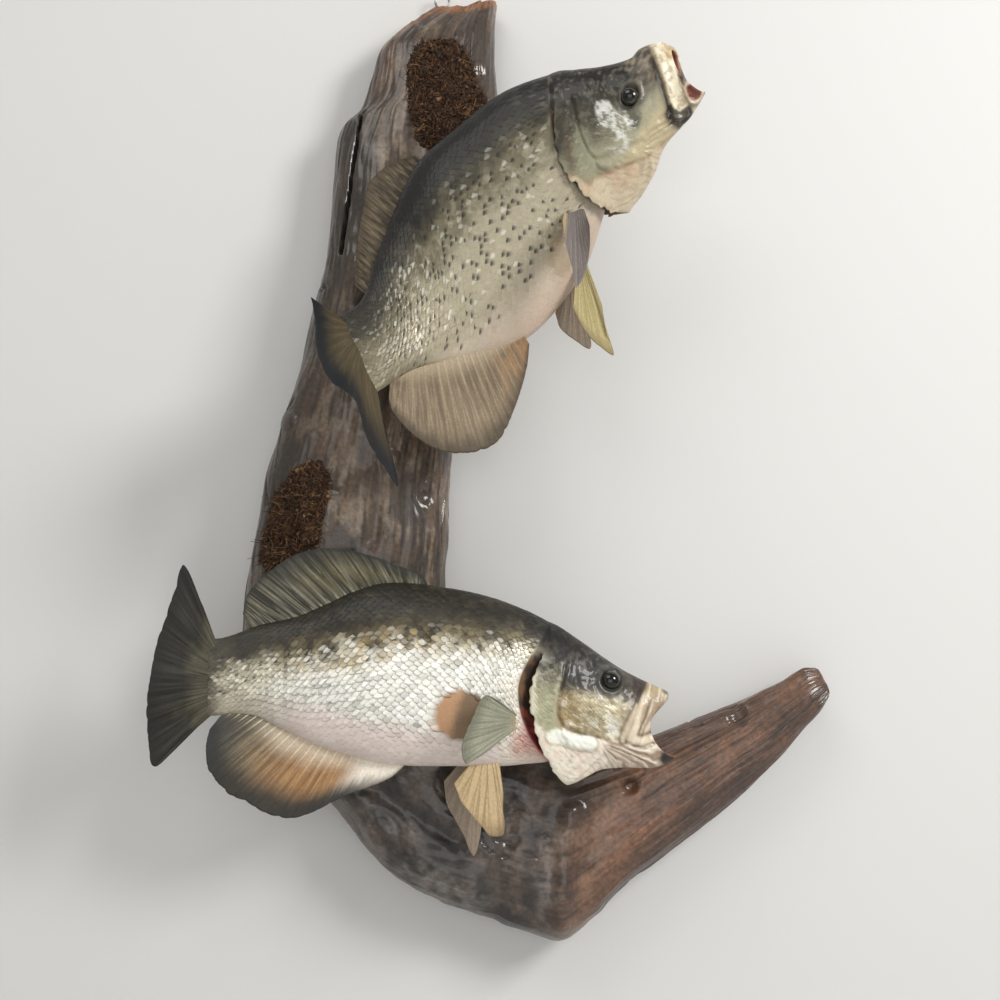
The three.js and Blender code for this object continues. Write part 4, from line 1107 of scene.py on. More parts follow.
def scale_colours(coat, rng, spot, middle, s, base, crisp, flecked):
    """Each scale takes the paint of its own middle, strayed a little, and of where it lies."""
    count, t, c = len(spot), SHINGLE_ALONG[None, :, None], SHINGLE_ACROSS[None, None, :]
    stray = rng.normal(0, 2.3, (count, 1, 1, 3)) * (1, 1, 0)
    colours, silver = coat.paint(spot, middle + stray)
    local, local_silver = coat.paint(s, base)
    colours = 0.45 * colours + 0.55 * local
    silver = 0.5 * silver + 0.5 * local_silver
    # Painted shade: each scale is darker towards its root, where it tucks under the one ahead,
    # towards its sides and along its rim; its brightness also varies at random.
    shade = rng.normal(1, 0.13, (count, 1, 1)) * (0.72 + 0.36 * t) * (1 - 0.2 * np.abs(c) ** 3)
    shade = 1 + (np.where(RIM[None], shade * 0.72, shade) - 1) * crisp
    colours = colours * shade[..., None]
    # Painted glints: some scales on the silver are lightened almost to white.
    lit = rng.uniform(0, 1, (count, 1, 1))
    flat = 1 - crisp
    glint = step(0.6 + 0.24 * flat, 0.85 + 0.13 * flat, lit) * step(0.3, 0.6, t)
    glint = glint * step(1 - 0.6 * flat, 0.5 - 0.4 * flat, np.abs(c + 0.2))
    glint = glint * silver * (0.9 + 0.1 * crisp) * ~RIM[None]
    colours = blend(colours, (246, 244, 234), 0.68 * glint)
    silver = silver * rng.uniform(0.5, 1.15, (count, 1, 1))
    if flecked:
        chance = flecked(middle[:, 0, 0, 0], middle[:, 0, 0, 1])
        chosen = (rng.uniform(0, 1, count) < chance)[:, None, None]
        mark = chosen * step(0.4, 0.72, t) * step(0.75, 0.25, np.abs(c + 0.4))
        colours = blend(colours, (22, 20, 16), 0.95 * mark)
        silver = silver * (1 - mark)
    return colours, silver


print("one shingle:", len(grid_faces(*RIM.shape)), "faces")

# %% Rows of scales on the trunk
SCALE_PITCH = 5.0           # size of a flank scale, mm
ROW_STEP = 0.62             # from row to row, and half the way to the next scale, in sizes


def trunk_roots(coat, lateral, bare):
    """Roots in rows that interlock, each row half a scale behind its neighbours."""
    roots, sizes = [], []
    s = SHOULDER - 0.3
    while s > -8:
        size = SCALE_PITCH * float(0.62 + 0.38 * step(0, 110, s) - 0.28 * step(205, 236, s))
        girth = float(np.interp(s, coat.s, coat.girth))
        start, row_height = lateral * girth, ROW_STEP * size
        first = -int((start - 0.5) / row_height)
        last = int((girth - start - 0.5) / row_height)
        for row in range(first, last + 1):
            roots.append([s + row_height * (row % 2), start + row * row_height])
            sizes.append(size)
        s -= 2 * row_height
    roots, sizes = np.array(roots), np.array(sizes)
    ends = roots[:, 0] - 1.9 * sizes + 8
    keep = (ends > 6 * field(roots[:, [1, 1, 1]], 4.0, 97)) & (roots[:, 0] < SHOULDER)
    if bare:
        keep &= ~bare(*coat.look_up(coat.points, roots[:, 0] - 4, roots[:, 1]).T)
    return roots[keep], sizes[keep]


# No scales in the pectoral fin's painted shadow.
def lower_bare(x, y, w):
    return (oval(x, y, FIN_SHADOW_SPOT, (18, 17.5)) < 1) & (w > 0)


def lower_flecked(x, y):
    """Share of the scales with a dark tip: most along the border of the dark back."""
    return 0.12 * bell((y - curve(DARK_EDGE, 1, x) + 4) / 11, 1) * step(200, 150, x)


def lower_relief(x, y):
    """How crisply the scales stand: most on the silver flank, least on back and belly."""
    above, below = y - curve(DARK_EDGE, 1, x), curve(PALE_EDGE, 1, x) - y
    return 0.26 + 0.74 * step(12, -2, above) * step(14, -4, below)


def dress_trunk(prefix, fish, nodes, seed, relief, flecked, bare=None):
    for side, word in SIDES:
        coat = Coat(fish, side, -14, SHOULDER, 1.75)
        roots, sizes = trunk_roots(coat, 0.36, bare)
        piece = lay_scales(f"{prefix}_{word}", coat, roots, 1.8 * sizes, ROW_STEP * sizes,
                           0.12 * sizes, seed + side, relief, flecked)
        finish_piece(piece, nodes, scale_material)


dress_trunk("scales", lower_fish, ["trunk", "tail_stem"], 5, lower_relief,
            lower_flecked, lower_bare)

# %% Small scales on the nape, the cheek and the gill cover
NAPE = [(239, 60), (239, 20), (250, 20.5), (262, 14), (270, 12), (266, 60)]
CHEEK = [(249, -4), (272, -13), (284, -19), (291, -24), (287, -35), (272, -37.5), (257, -35),
         (247.5, -30), (246, -14)]
COVER = [(241, 14), (246, 10), (243.5, 0), (241.5, -12), (240.6, -26), (240, -34), (232, -30),
         (229.5, -16), (231.5, -2), (235, 8)]


HEAD_END, HEAD_ROWS = 338, 190      # last station of the scales; rows of 1 mm scales


def dress_head(prefix, fish, nodes, seed, crispness):
    for side, word in SIDES:
        coat = Coat(fish, side, COVER_EDGE, HEAD_END + 2, 0.9)
        roots, sizes = [], []
        for region, size in ((NAPE, 3.6), (CHEEK, 2.7), (COVER, 3.1)):
            lines = np.arange(COVER_EDGE + 1, HEAD_END, 2 * ROW_STEP * size)[::-1]
            spots = np.array([[s + ROW_STEP * size * (row % 2), (row + 0.5) * ROW_STEP * size]
                              for s in lines for row in range(int(HEAD_ROWS / size))])
            middle = coat.look_up(coat.points, spots[:, 0] - 0.6 * size, spots[:, 1])
            edge = inside_depth(middle[:, 0], middle[:, 1], region)
            within = edge > 0.8 * (field(middle, 3.0, 91) - 0.3)
            within &= spots[:, 0] - 1.9 * size > COVER_EDGE
            roots.append(spots[within])
            sizes.append(np.full(int(within.sum()), size))
        roots, sizes = np.concatenate(roots), np.concatenate(sizes)
        piece = lay_scales(f"{prefix}_{word}", coat, roots, 1.75 * sizes, ROW_STEP * sizes,
                           0.05 * sizes, seed + side, lambda x, y: crispness + 0 * x)
        finish_piece(piece, nodes, scale_material)


dress_head("head_scales", lower_fish, ["head", "gill_cover_right", "gill_cover_left"],
           11, 0.55)

# %% [markdown]
# ## The fins
# A fin is a thin skin stretched over rays. Its root line and its margin are drawn as short lines
# of points; the rays run between them, fork on their way out, and stand a little proud of the
# skin. A grid goes out over the front of the fin and back over its rear, and is closed round.

# %% One fin from its root line and its margin
def even_line(points, shares):
    points = np.asarray(points, float)
    lengths = np.concatenate([[0], np.cumsum(np.linalg.norm(np.diff(points, axis=0), axis=1))])
    rows = np.column_stack([lengths, points])
    return np.stack([curve(rows, k, shares * lengths[-1]) for k in (1, 2, 3)], -1)


def ray_profile(u, v, rays, spines):
    """Height of the rays from 0 to 1 at share u along the fin and v out along the rays."""
    phase = u * rays
    nearest = np.round(phase)
    offset = phase - nearest
    soft = step(spines - 0.5, spines + 0.5, rays - nearest)
    first = 0.2 * step(0.2, 0.8, v) * soft
    second = 0.09 * step(0.5, 1.0, v) * soft
    width = 0.12 - 0.05 * v
    height = np.zeros(np.broadcast(u, v).shape)
    for a in (-1, 1):
        for b in (-1, 1):
            height = np.maximum(height, bell(offset - a * first - b * second, width))
    joints = 0.86 + 0.14 * np.sin(v * 70 + nearest * 2.1)
    return height * joints, offset


WEB_DEPTH = 0.5             # thickness of the skin between the rays, mm


def make_fin(name, root, margin, rays, place, paint, seed, spines=0, thick=(0.8, 0.3),
             base=0.0, rows=36, columns=10, ripple=0.0, sweep=1.0, swell=0.34):
    across = rays * columns + 1
    u = np.linspace(0, 1, across)[:, None]
    v = np.linspace(0, 1, rows)[None, :] ** 0.9
    start, end = even_line(root, u[:, 0]), even_line(margin, u[:, 0] ** sweep)
    ridge, offset = ray_profile(u, v, rays, spines)
    rng = np.random.default_rng(seed)
    nicks = np.interp(u[:, 0] * rays * 2, np.arange(2 * rays + 1), rng.uniform(0, 1, 2 * rays + 1))
    reach = 1 - 0.008 * (2 * np.abs(offset[:, -1:])) ** 2 - 0.012 * nicks[:, None] ** 3
    points = start[:, None] + (end - start)[:, None] * (v * reach)[..., None]
    normals = unit(np.cross(np.gradient(points, axis=0), np.gradient(points, axis=1)))
    sway = ripple * v ** 1.5 * np.sin(u * rays * 0.9 + 2.0 * v + seed)
    points = points + normals * sway[..., None]
    ray_depth = thick[0] + (thick[1] - thick[0]) * v
    root_swell = base * step(swell, 0.0, v) * np.sin(np.pi * u) ** 0.8
    half = (WEB_DEPTH + ray_depth * ridge + root_swell) / 2 * (1 - 0.4 * v ** 6)
    half = half * np.minimum(1, 14 * np.minimum(u, 1 - u))
    front, back = points + normals * half[..., None], points - normals * half[..., None]
    colours = np.broadcast_to(paint(u, v, ridge), points.shape)
    piece = grid_piece(name, place(closed(np.concatenate([front, back[:, ::-1]], 1))))
    paint_piece(piece, closed(np.concatenate([colours, colours[:, ::-1]], 1)))
    close_up(piece)
    return piece


fin_material, tree, shader = new_material("varnished fin", 0.6, 0.06, 0.2, gloss=0.2)
broken_paint(tree, shader, 700, 0.12)
add_bump(tree, shader, noise_node(tree, 1800, 2.0), 0.0002, 0.4)
print("fin finish:", fin_material.name)

# %% Fin colours
def noise_over(u, v, along, out, seed):
    return fractal(spread_out(u * along, v * out, v, 0), 1.0, seed, 3)


def fine_lines(u, v, rays, seed):
    """Hair-fine streaks that run out along the rays, from 0 to 1."""
    return noise_over(u, v, rays * 5.2, 1.3, seed)


def dorsal_paint(u, v, ridge):
    grain = fine_lines(u, v, 21, 3) - 0.5
    patch = noise_over(u, v, 9, 3, 5) - 0.5
    colour = Paint((46, 45, 39), (122, 118, 102), 0.3 + 0.3 * ridge + 1.5 * grain)
    yellow = bell(u - 0.62, 0.22) * bell(v - 0.5, 0.32)
    colour.lay((112, 104, 70), np.clip(0.6 * yellow + 0.5 * patch, 0, 0.5))
    colour.lay((42, 41, 36), 0.65 * step(0.02, -0.16, grain))
    dark = step(0.5, 0.85, v + 0.3 * patch) * step(0.2, 0.45, u)
    colour.lay((52, 51, 47), 0.6 * dark)
    streak = step(0.58, 0.74, fine_lines(u, v, 26, 7)) * step(0.9, 0.5, v)
    colour.lay((166, 162, 146), 0.48 * streak)
    colour.lay((204, 198, 172), step(0.2, 0.04, v) * 0.8 * step(0.3, 0.8, ridge))
    return colour.lay((44, 46, 44), 0.8 * step(0.86, 1.0, v + 0.1 * patch))


def anal_paint(u, v, ridge):
    grain = fine_lines(u, v, 23, 13) - 0.5
    patch = noise_over(u, v, 6, 3, 15) - 0.5
    brown = blend((122, 88, 57), (186, 147, 105), 0.35 + ridge * 0.4 + 1.5 * grain)
    grey = blend((80, 76, 66), (150, 136, 112), 0.2 + ridge * 0.5 + 1.5 * grain)
    centre = step(0.22, 0.55, u + 0.15 * patch) * step(1.0, 0.6, v + 0.15 * patch)
    colour = Paint(grey, brown, centre)
    root = step(0.42, 0.1, v + 0.2 * patch) * step(0.1, 0.45, u)
    colour.lay((218, 203, 180), 0.74 * root)
    rib = step(0.24, 0.04, v - 0.14 * ridge) * step(0.3, 0.75, ridge)
    colour.lay((232, 221, 200), 0.9 * rib)
    colour.lay((243, 235, 221), 0.95 * step(0.7, 0.86, u) * step(1.1, 0.7, v))
    outer = step(0.52, 0.9, v + 0.16 * patch + 0.3 * grain) * step(0.98, 0.78, u)
    colour.lay((46, 46, 45), 0.92 * outer)
    rear = step(0.34, 0.06, u + 0.1 * patch) * step(0.05, 0.5, v + 0.3 * grain)
    return colour.lay((48, 51, 53), 0.85 * rear)


def tail_paint(u, v, ridge):
    grain = fine_lines(u, v, 19, 23) - 0.5
    patch = noise_over(u, v, 7, 4, 25) - 0.5
    colour = Paint((28, 27, 24), (62, 60, 54), 0.3 + ridge * 0.2 + 1.5 * grain)
    olive = blend((58, 54, 43), (100, 95, 77), 0.5 + ridge * 0.2 + 1.4 * grain)
    colour.lay(olive, 0.9 * step(0.62, 0.26, v + 0.5 * patch))
    fork = step(0.52, 0.7, fine_lines(u, v, 12, 27)) * bell(v - 0.35, 0.24)
    colour.lay((34, 33, 28), 0.65 * fork)
    return colour.lay((30, 31, 31), 0.6 * step(0.7, 1.0, v))


def pectoral_paint(u, v, ridge):
    grain = noise_over(u, v, 30, 3, 33) - 0.5
    colour = Paint((128, 129, 111), (166, 166, 149), 0.2 + ridge * 0.6 + 0.8 * grain)
    colour.lay((176, 160, 130), step(0.3, 0.0, v) * 0.8)
    return colour.lay((92, 92, 78), 0.6 * step(0.7, 1.0, v))


def pelvic_paint(u, v, ridge):
    grain = noise_over(u, v, 24, 3, 43) - 0.5
    colour = Paint((144, 120, 88), (194, 172, 134), 1 - 0.7 * ridge + 0.6 * grain)
    colour.lay((216, 196, 156), step(0.3, 0.0, v) * 0.6)
    return colour.lay((92, 72, 52), 0.65 * step(0.76, 1.0, v) * step(0.2, 0.7, u))


# The far pelvic fins: the pelvic colours painted duller and greyer, as painted shade.
def shaded_pelvic_paint(u, v, ridge):
    grain = noise_over(u, v, 24, 3, 53) - 0.5
    return blend((132, 118, 104), (160, 148, 132), ridge * 0.5 + 0.6 * grain)


print("tail at its base:", tail_paint(*np.full((3, 1, 1), 0.1)).round(2).tolist())

# %% Fins of the lower fish
def lifted(points, lean=0.0, wave=0.0):
    return [[x, y, lean + wave * math.sin(1.3 * i)] for i, (x, y) in enumerate(points)]


DORSAL_ROOT = [[26, 31], [60, 40], [96, 55], [126, 62.5], [150, 60]]
DORSAL_MARGIN = [[19.5, 45], [22, 58.7], [36.7, 75.2], [51.6, 85.9], [64.6, 90.9], [78, 92.6],
                 [94.7, 90.9], [111.3, 86.8], [127.9, 80.3], [146.2, 73.5], [151, 66]]
ANAL_ROOT = [[10, -22], [40, -28], [72, -43], [104, -52], [134, -57]]
ANAL_MARGIN = [[-1, -36], [-3.4, -49.2], [-1.4, -63.7], [11.7, -80.6], [25, -87.8],
               [38.2, -95.6], [54.6, -99], [69.1, -95.8], [83.5, -88.6], [96.6, -82.2],
               [112.8, -76.5], [125.9, -70.5], [135.5, -62.5]]
TAIL_ROOT = [[3, 24], [5, 8], [5, -8], [3, -24]]
TAIL_MARGIN = [[-6, 50], [-19.2, 78.7], [-24.4, 60], [-29.2, 40.1], [-33.2, 24], [-36, 9.1],
               [-38.5, -7.9], [-38.7, -21.5], [-36.6, -41.8], [-32.8, -60.3], [-16, -42]]
PECTORAL_ROOT = [[217, -26.5, 22], [216, -34.5, 21]]
PECTORAL_MARGIN = [[204, -17, 36], [192.6, -11.6, 43], [184, -28, 48], [177.6, -45.5, 50],
                   [179.5, -57, 48], [187, -54.5, 44], [196, -48.5, 38]]
PELVIC_ROOT = [[188, -54, 6], [202, -54, 9]]
PELVIC_MARGIN = [[171, -74, 10], [176, -86, 13], [184, -96, 15], [191.5, -104, 17],
                 [197, -109.5, 18], [205.5, -108.5, 18], [205.6, -94, 16], [206, -80, 13]]
FAR_PELVIC_ROOT = [[181, -54, -6], [193, -54, -8]]
FAR_PELVIC_MARGIN = [[163, -74, -10], [165.5, -91.4, -13], [175.5, -110.9, -16],
                     [184.5, -129.4, -18], [189.2, -114.8, -17], [191, -98, -15],
                     [192, -82, -12]]
far_side = lambda points: [[x, y, -(22 + (w - 22) * 0.22)] for x, y, w in points]
LOWER_FINS = [
    ("dorsal_fin", lifted(DORSAL_ROOT), lifted(DORSAL_MARGIN, 2, 1.2), 21,
     dorsal_paint, dict(spines=6, base=2.0, ripple=0.4, thick=(0.9, 0.3), sweep=1.55)),
    ("anal_fin", lifted(ANAL_ROOT), lifted(ANAL_MARGIN, 2, 1.2), 23,
     anal_paint, dict(spines=6, base=2.5, ripple=0.4, thick=(0.9, 0.3), sweep=1.4)),
    ("tail_fin", lifted(TAIL_ROOT), lifted(TAIL_MARGIN, 0, 1.2), 19,
     tail_paint, dict(base=7.0, swell=0.55, ripple=0.25, rows=40, thick=(0.45, 0.2))),
    ("pectoral_fin_right", PECTORAL_ROOT, PECTORAL_MARGIN, 13,
     pectoral_paint, dict(columns=9, ripple=0.4)),
    ("pectoral_fin_left", far_side(PECTORAL_ROOT), far_side(PECTORAL_MARGIN), 13,
     pectoral_paint, dict(columns=9)),
    ("pelvic_fin_right", PELVIC_ROOT, PELVIC_MARGIN, 6,
     pelvic_paint, dict(thick=(1.2, 0.5), columns=16, ripple=1.0)),
    ("pelvic_fin_left", FAR_PELVIC_ROOT, FAR_PELVIC_MARGIN, 6,
     shaded_pelvic_paint, dict(thick=(1.2, 0.5), columns=16, ripple=1.0)),
]
for rank, (node, root, margin, rays, paint, extra) in enumerate(LOWER_FINS):
    piece = make_fin(f"{node}_rays", root, margin, rays, place_lower, paint, rank + 3, **extra)
    finish_piece(piece, [node], fin_material)

# %% [markdown]
# ## Glass eyes
# A taxidermist's eye is a glass cap: a black pupil, a thin bright ring and a dark mottled iris
# behind a polished dome. A sphere primitive is flattened and turned to lie in its socket.

# %% Setting an eye
EYE_SIZE = np.array([7.1, 7.1, 6.4])        # half its width, its height and its depth, mm
EYE_TILT, EYE_TURN = -0.16, 0.15            # how it is turned in its socket, radians
eye_material, tree, shader = new_material("glass eye", 0.08, 1.0, 0.02, gloss=0.1)
tree.links.new(attribute_output(tree, "paint", "Color"), shader.inputs["Base Color"])


def socket_place(place, centre, side):
    """Carry a rigid eye to its socket, whatever the fish's bend does around it."""
    middle = np.array([centre[0], centre[1], centre[2] * side])
    spot = lambda x, y: place(middle + np.array([x, y, 0.0]))
    forward = unit(spot(1, 0) - spot(-1, 0))
    out = unit(np.cross(forward, spot(0, 1) - spot(0, -1)))
    up = np.cross(out, forward)
    return lambda x, y, w: spot(0, 0) + (x[:, None] * forward + y[:, None] * up
                                         + w[:, None] * out) / 1000


def make_eye(name, centre, side, place, ring=(66, 60, 44), iris=(30, 32, 27)):
    bpy.ops.mesh.primitive_uv_sphere_add(segments=96, ring_count=64, radius=1)
    piece = bpy.context.active_object
    piece.name = name
    ball = np.empty(len(piece.data.vertices) * 3, np.float32)
    piece.data.vertices.foreach_get("co", ball)
    ball = ball.reshape(-1, 3).astype(float)
    off = np.hypot(ball[:, 0], ball[:, 1])
    front = ball[:, 2] * side > 0
    turn = np.arctan2(ball[:, 1], ball[:, 0])
    streak = field(np.stack([np.cos(turn) * 6, np.sin(turn) * 6, off * 3], -1), 1.0, 5)
    colours = blend(iris, (70, 66, 50), 0.8 * (streak - 0.35))
    colours = blend(colours, ring, bell(off - 0.68, 0.022) * 0.7)
    colours = blend(colours, (4, 4, 5), step(0.68, 0.65, off))
    colours = blend(colours, (12, 12, 12), step(0.86, 0.96, off))
    colours = np.where(front[:, None], colours, tone(24, 23, 22))
    ball = ball * EYE_SIZE
    a, b = EYE_TILT * side, EYE_TURN * side
    ca, sa, cb, sb = math.cos(a), math.sin(a), math.cos(b), math.sin(b)
    y, w = ball[:, 1] * ca - ball[:, 2] * sa, ball[:, 1] * sa + ball[:, 2] * ca
    x, w = ball[:, 0] * cb + w * sb, -ball[:, 0] * sb + w * cb
    world = socket_place(place, centre, side)(x, y, w)
    piece.data.vertices.foreach_set("co", np.ascontiguousarray(world, np.float32).ravel())
    piece.data.update()
    piece.data.shade_smooth()
    paint_piece(piece, colours)
    return piece


EYE_CENTRE = (281.6, -2.3, 13.4)
for side, word in SIDES:
    finish_piece(make_eye(f"glass_eye_{word}", EYE_CENTRE, side, place_lower),
                 [f"eye_{word}"], eye_material)

# %% [markdown]
# ## The upper fish
# It is made by the same steps, stretched into its climbing pose, with its own markings, a
# slighter gape and its fins drawn where they are on the wall.

# %% Skin, scales and eyes of the upper fish
upper_fish = SimpleNamespace(stations=with_gape(0.25, 8.5), head=UPPER_HEAD,
                             place=place_upper, paint=upper_paint)
second_skin = make_skin("second_skin", upper_fish)
finish_piece(second_skin, ["second_fish"], skin_material)


def upper_relief(x, y):
    """The scales lie flatter than on the lower fish, crispest above the anal fin."""
    return 0.13 + 0.4 * step(120, 50, x) * step(-34, -20, y)


def upper_flecked(x, y):
    """Share of the scales with a dark tip: the flank, but not the belly."""
    return 0.23 * step(10, 40, x) * step(-46, -30, y) * step(50, 34, y)


dress_trunk("second_scales", upper_fish, ["second_fish"], 25, upper_relief,
            upper_flecked)
dress_head("second_head_scales", upper_fish, ["second_fish"], 31, 0.2)
for side, word in SIDES:
    eye = make_eye(f"second_eye_{word}", (288, -18.7, 16.6), side, place_upper,
                   ring=(112, 98, 70), iris=(40, 37, 30))
    finish_piece(eye, ["second_fish"], eye_material)

# %% Fins of the upper fish
def upper_dorsal_paint(u, v, ridge):
    grain = noise_over(u, v, 60, 4, 63) - 0.5
    colour = Paint((58, 51, 41), (128, 113, 90), 0.1 + ridge * 0.5 + 1.2 * grain)
    return colour.lay((70, 60, 46), 0.6 * step(0.6, 1.0, v))


def upper_anal_paint(u, v, ridge):
    grain = noise_over(u, v, 50, 4, 73) - 0.5
    colour = Paint((112, 98, 80), (162, 145, 120), 0.15 + ridge * 0.5 + 0.9 * grain)
    colour.lay((148, 112, 76), 0.6 * step(0.7, 0.97, u + 0.5 * grain))
    colour.lay((184, 168, 142), 0.7 * step(0.3, 0.05, v))
    return colour.lay((66, 59, 50), 0.8 * step(0.74, 1.0, v + 0.3 * grain))


def upper_tail_paint(u, v, ridge):
    grain = noise_over(u, v, 50, 4, 83) - 0.5
    colour = Paint((70, 62, 46), (104, 93, 70), 0.2 + ridge * 0.4 + 0.9 * grain)
    return colour.lay((26, 29, 34), step(0.35, 0.9, v + 0.3 * grain))


def upper_pectoral_paint(u, v, ridge):
    grain = noise_over(u, v, 30, 3, 93) - 0.5
    colour = Paint((112, 105, 103), (146, 137, 132), 0.1 + ridge * 0.6 + 0.8 * grain)
    # A painted highlight along the leading rays.
    return colour.lay((178, 158, 122), step(0.2, 0.05, u))


def upper_pelvic_paint(u, v, ridge):
    grain = noise_over(u, v, 24, 3, 103) - 0.5
    colour = Paint((166, 152, 108), (200, 186, 142), ridge * 0.6 + 0.9 * grain)
    return colour.lay((112, 98, 72), 0.5 * step(0.8, 1.0, v))


def wall_place(points):
    """Points given on the wall, as x, z and how far they stand off it."""
    return np.stack([points[..., 0], -points[..., 2], points[..., 1]], -1) / 1000


UPPER_FINS = [
    ("second_dorsal", [[-14, 19, 112], [-7, 45, 100], [3, 76, 92], [14, 104, 89], [27, 126, 88]],
     [[-26.6, 32.6, 95], [-26.6, 43.7, 93], [-26.3, 56.6, 90], [-25.2, 69.6, 87],
      [-24.2, 83.5, 84], [-22.4, 95.9, 81], [-19.4, 111.2, 79], [-13.9, 120.9, 78],
      [-5.6, 128.3, 79], [5.1, 131.8, 82], [17, 134, 86]], 20, upper_dorsal_paint,
     dict(base=2.0, ripple=0.6)),
    ("second_anal", [[2, -38, 116], [24, -25, 103], [50, -17, 96], [76, -9, 91], [96, 0, 88]],
     [[0.5, -56, 112], [3.5, -64.4, 110], [17, -79.4, 106], [35.5, -90.4, 102],
      [53.3, -92.8, 99], [65.5, -90.2, 96], [74.2, -86.3, 94], [81.1, -79.6, 93],
      [90.2, -60.1, 91], [95, -45.9, 90], [99.8, -27.2, 89], [101.5, -10, 88]], 22,
     upper_anal_paint, dict(spines=6, base=2.5, ripple=0.6)),
    ("second_tail", [[-30, 0, 119], [-25, -14, 120], [-18, -31, 120], [-8, -46, 119]],
     [[-49.3, 5.8, 165], [-44.7, -12.5, 172], [-41.6, -34.4, 178], [-33.1, -54.4, 180],
      [-17, -67.9, 180], [-8.6, -92, 175], [1.6, -109.2, 168], [11.2, -123.1, 160],
      [0.4, -81.8, 140]], 17, upper_tail_paint, dict(base=6.0, ripple=0.5, thick=(0.7, 0.3))),
    ("second_pectoral", [[127, 84, 108], [141, 85, 110]],
     [[124, 70, 132], [126.9, 48.9, 142], [130, 31.9, 149], [132.5, 15.5, 152],
      [138.3, 24.3, 148], [142.4, 45.1, 140], [143.8, 66, 131]], 12, upper_pectoral_paint,
     dict(columns=9, ripple=0.5)),
    ("second_pelvic_right", [[136, 48, 96], [143, 50, 97]],
     [[132.8, 13, 105], [139.9, -1.5, 107], [146.2, -10.5, 108], [153.3, -17.3, 109],
      [161.9, -22.5, 109], [157.2, -5.9, 107], [153.9, 16.2, 104]], 6, upper_pelvic_paint,
     dict(thick=(1.2, 0.5), columns=16, ripple=0.8)),
    ("second_pelvic_left", [[131, 42, 84], [137, 46, 84]],
     [[121, 16.3, 76], [124.7, 5.2, 75], [136.9, -5.4, 75], [147.3, -10.9, 76],
      [146.1, 3, 78], [145, 20, 80]], 6, shaded_pelvic_paint,
     dict(thick=(1.2, 0.5), columns=16, ripple=0.8)),
]
for rank, (name, root, margin, rays, paint, extra) in enumerate(UPPER_FINS):
    piece = make_fin(name, root, margin, rays, wall_place, paint, rank + 13, **extra)
    finish_piece(piece, ["second_fish"], fin_material)

# %% [markdown]
# ## The driftwood
# The wood is one tube of rings from its sawn top, round the hook, to the tip of the branch. The
# grain runs with the tube, so ridges, checks and streaks are worked out along and around it.

# %% Rings of the wood
WOOD = [
    [24, 277, 76, 287, 26, 0], [-12, 245, 74, 258, 42, 0], [-22, 217, 74, 233, 46, 0],
    [-32, 190, 78, 213, 49, 0], [-47, 176, 80, 192, 51, 0], [-51, 135, 78, 151, 54, 0],
    [-53, 86, 70, 86, 57, 0], [-62, 38, 60, 30, 58, 0], [-73, -13, 51, -29, 58, 0],
    [-88, -66, 44, -80, 58, 0], [-100, -103, 42, -119, 58, 0], [-105, -137, 42, -150, 58, 0],
    [-112, -169, 40, -180, 58, 0], [-116, -203, 42, -211, 58, 0], [-115, -241, 46, -237, 59, 0],
    [-100, -282, 54, -260, 60, 0], [-77, -317, 62, -277, 60, 0], [-48, -348, 69, -289, 60, 0],
    [-6, -396, 82, -302, 60, 0], [29, -416, 91, -306, 60, 0], [67, -431, 103, -308, 60, 0],
    [104, -443, 116, -310, 58, 1], [126, -447, 130, -310, 56, 2], [149, -432, 146, -308, 54, 3],
    [171, -409, 163, -306, 53, 4], [196, -390, 182, -302, 52, 5], [230, -364, 205, -295, 50, 7],
    [276, -327, 250, -276, 47, 10], [311, -290, 294, -256, 42, 12], [322, -279, 308, -247, 39, 13],
    [327, -271, 318, -247, 36, 15],
]
WOOD_ROWS, WOOD_AROUND = 430, 200
WOOD_GIRTH = 330            # the grain is laid out as if the girth were this all along, mm
rings = np.array(WOOD, float)
middle_line = np.stack([(rings[:, 0] + rings[:, 2]) / 2, (rings[:, 1] + rings[:, 3]) / 2], -1)
run = np.concatenate([[0], np.cumsum(np.hypot(*np.diff(middle_line, axis=0).T))])
wood_table = np.column_stack([run, rings])
share = np.linspace(0, 1, WOOD_AROUND + 1)[:-1]
wood_angle = np.where(share < 0.76, share / 0.76, 1 + (share - 0.76) / 0.24) * np.pi
print("the wood runs", round(run[-1]), "mm")


def wood_form(t, angle):
    """Points x, z and standoff of the plain tube."""
    ox, oz, ix, iz, front, back = (curve(wood_table, k, t) for k in range(1, 7))
    turn = np.cos(angle)
    across = np.sign(turn) * np.abs(turn) ** 0.8
    waist = np.minimum(28, (front + back) / 2)
    lift = np.maximum(np.sin(angle), 0)
    drop = np.maximum(-np.sin(angle), 0)
    depth = waist + (front - waist) * lift ** 0.75
    depth = depth - (waist - back) * np.minimum(1, 1.5 * drop ** 0.9)
    return np.stack([(ox + ix) / 2 + (ox - ix) / 2 * across,
                     (oz + iz) / 2 + (oz - iz) / 2 * across, depth], -1)


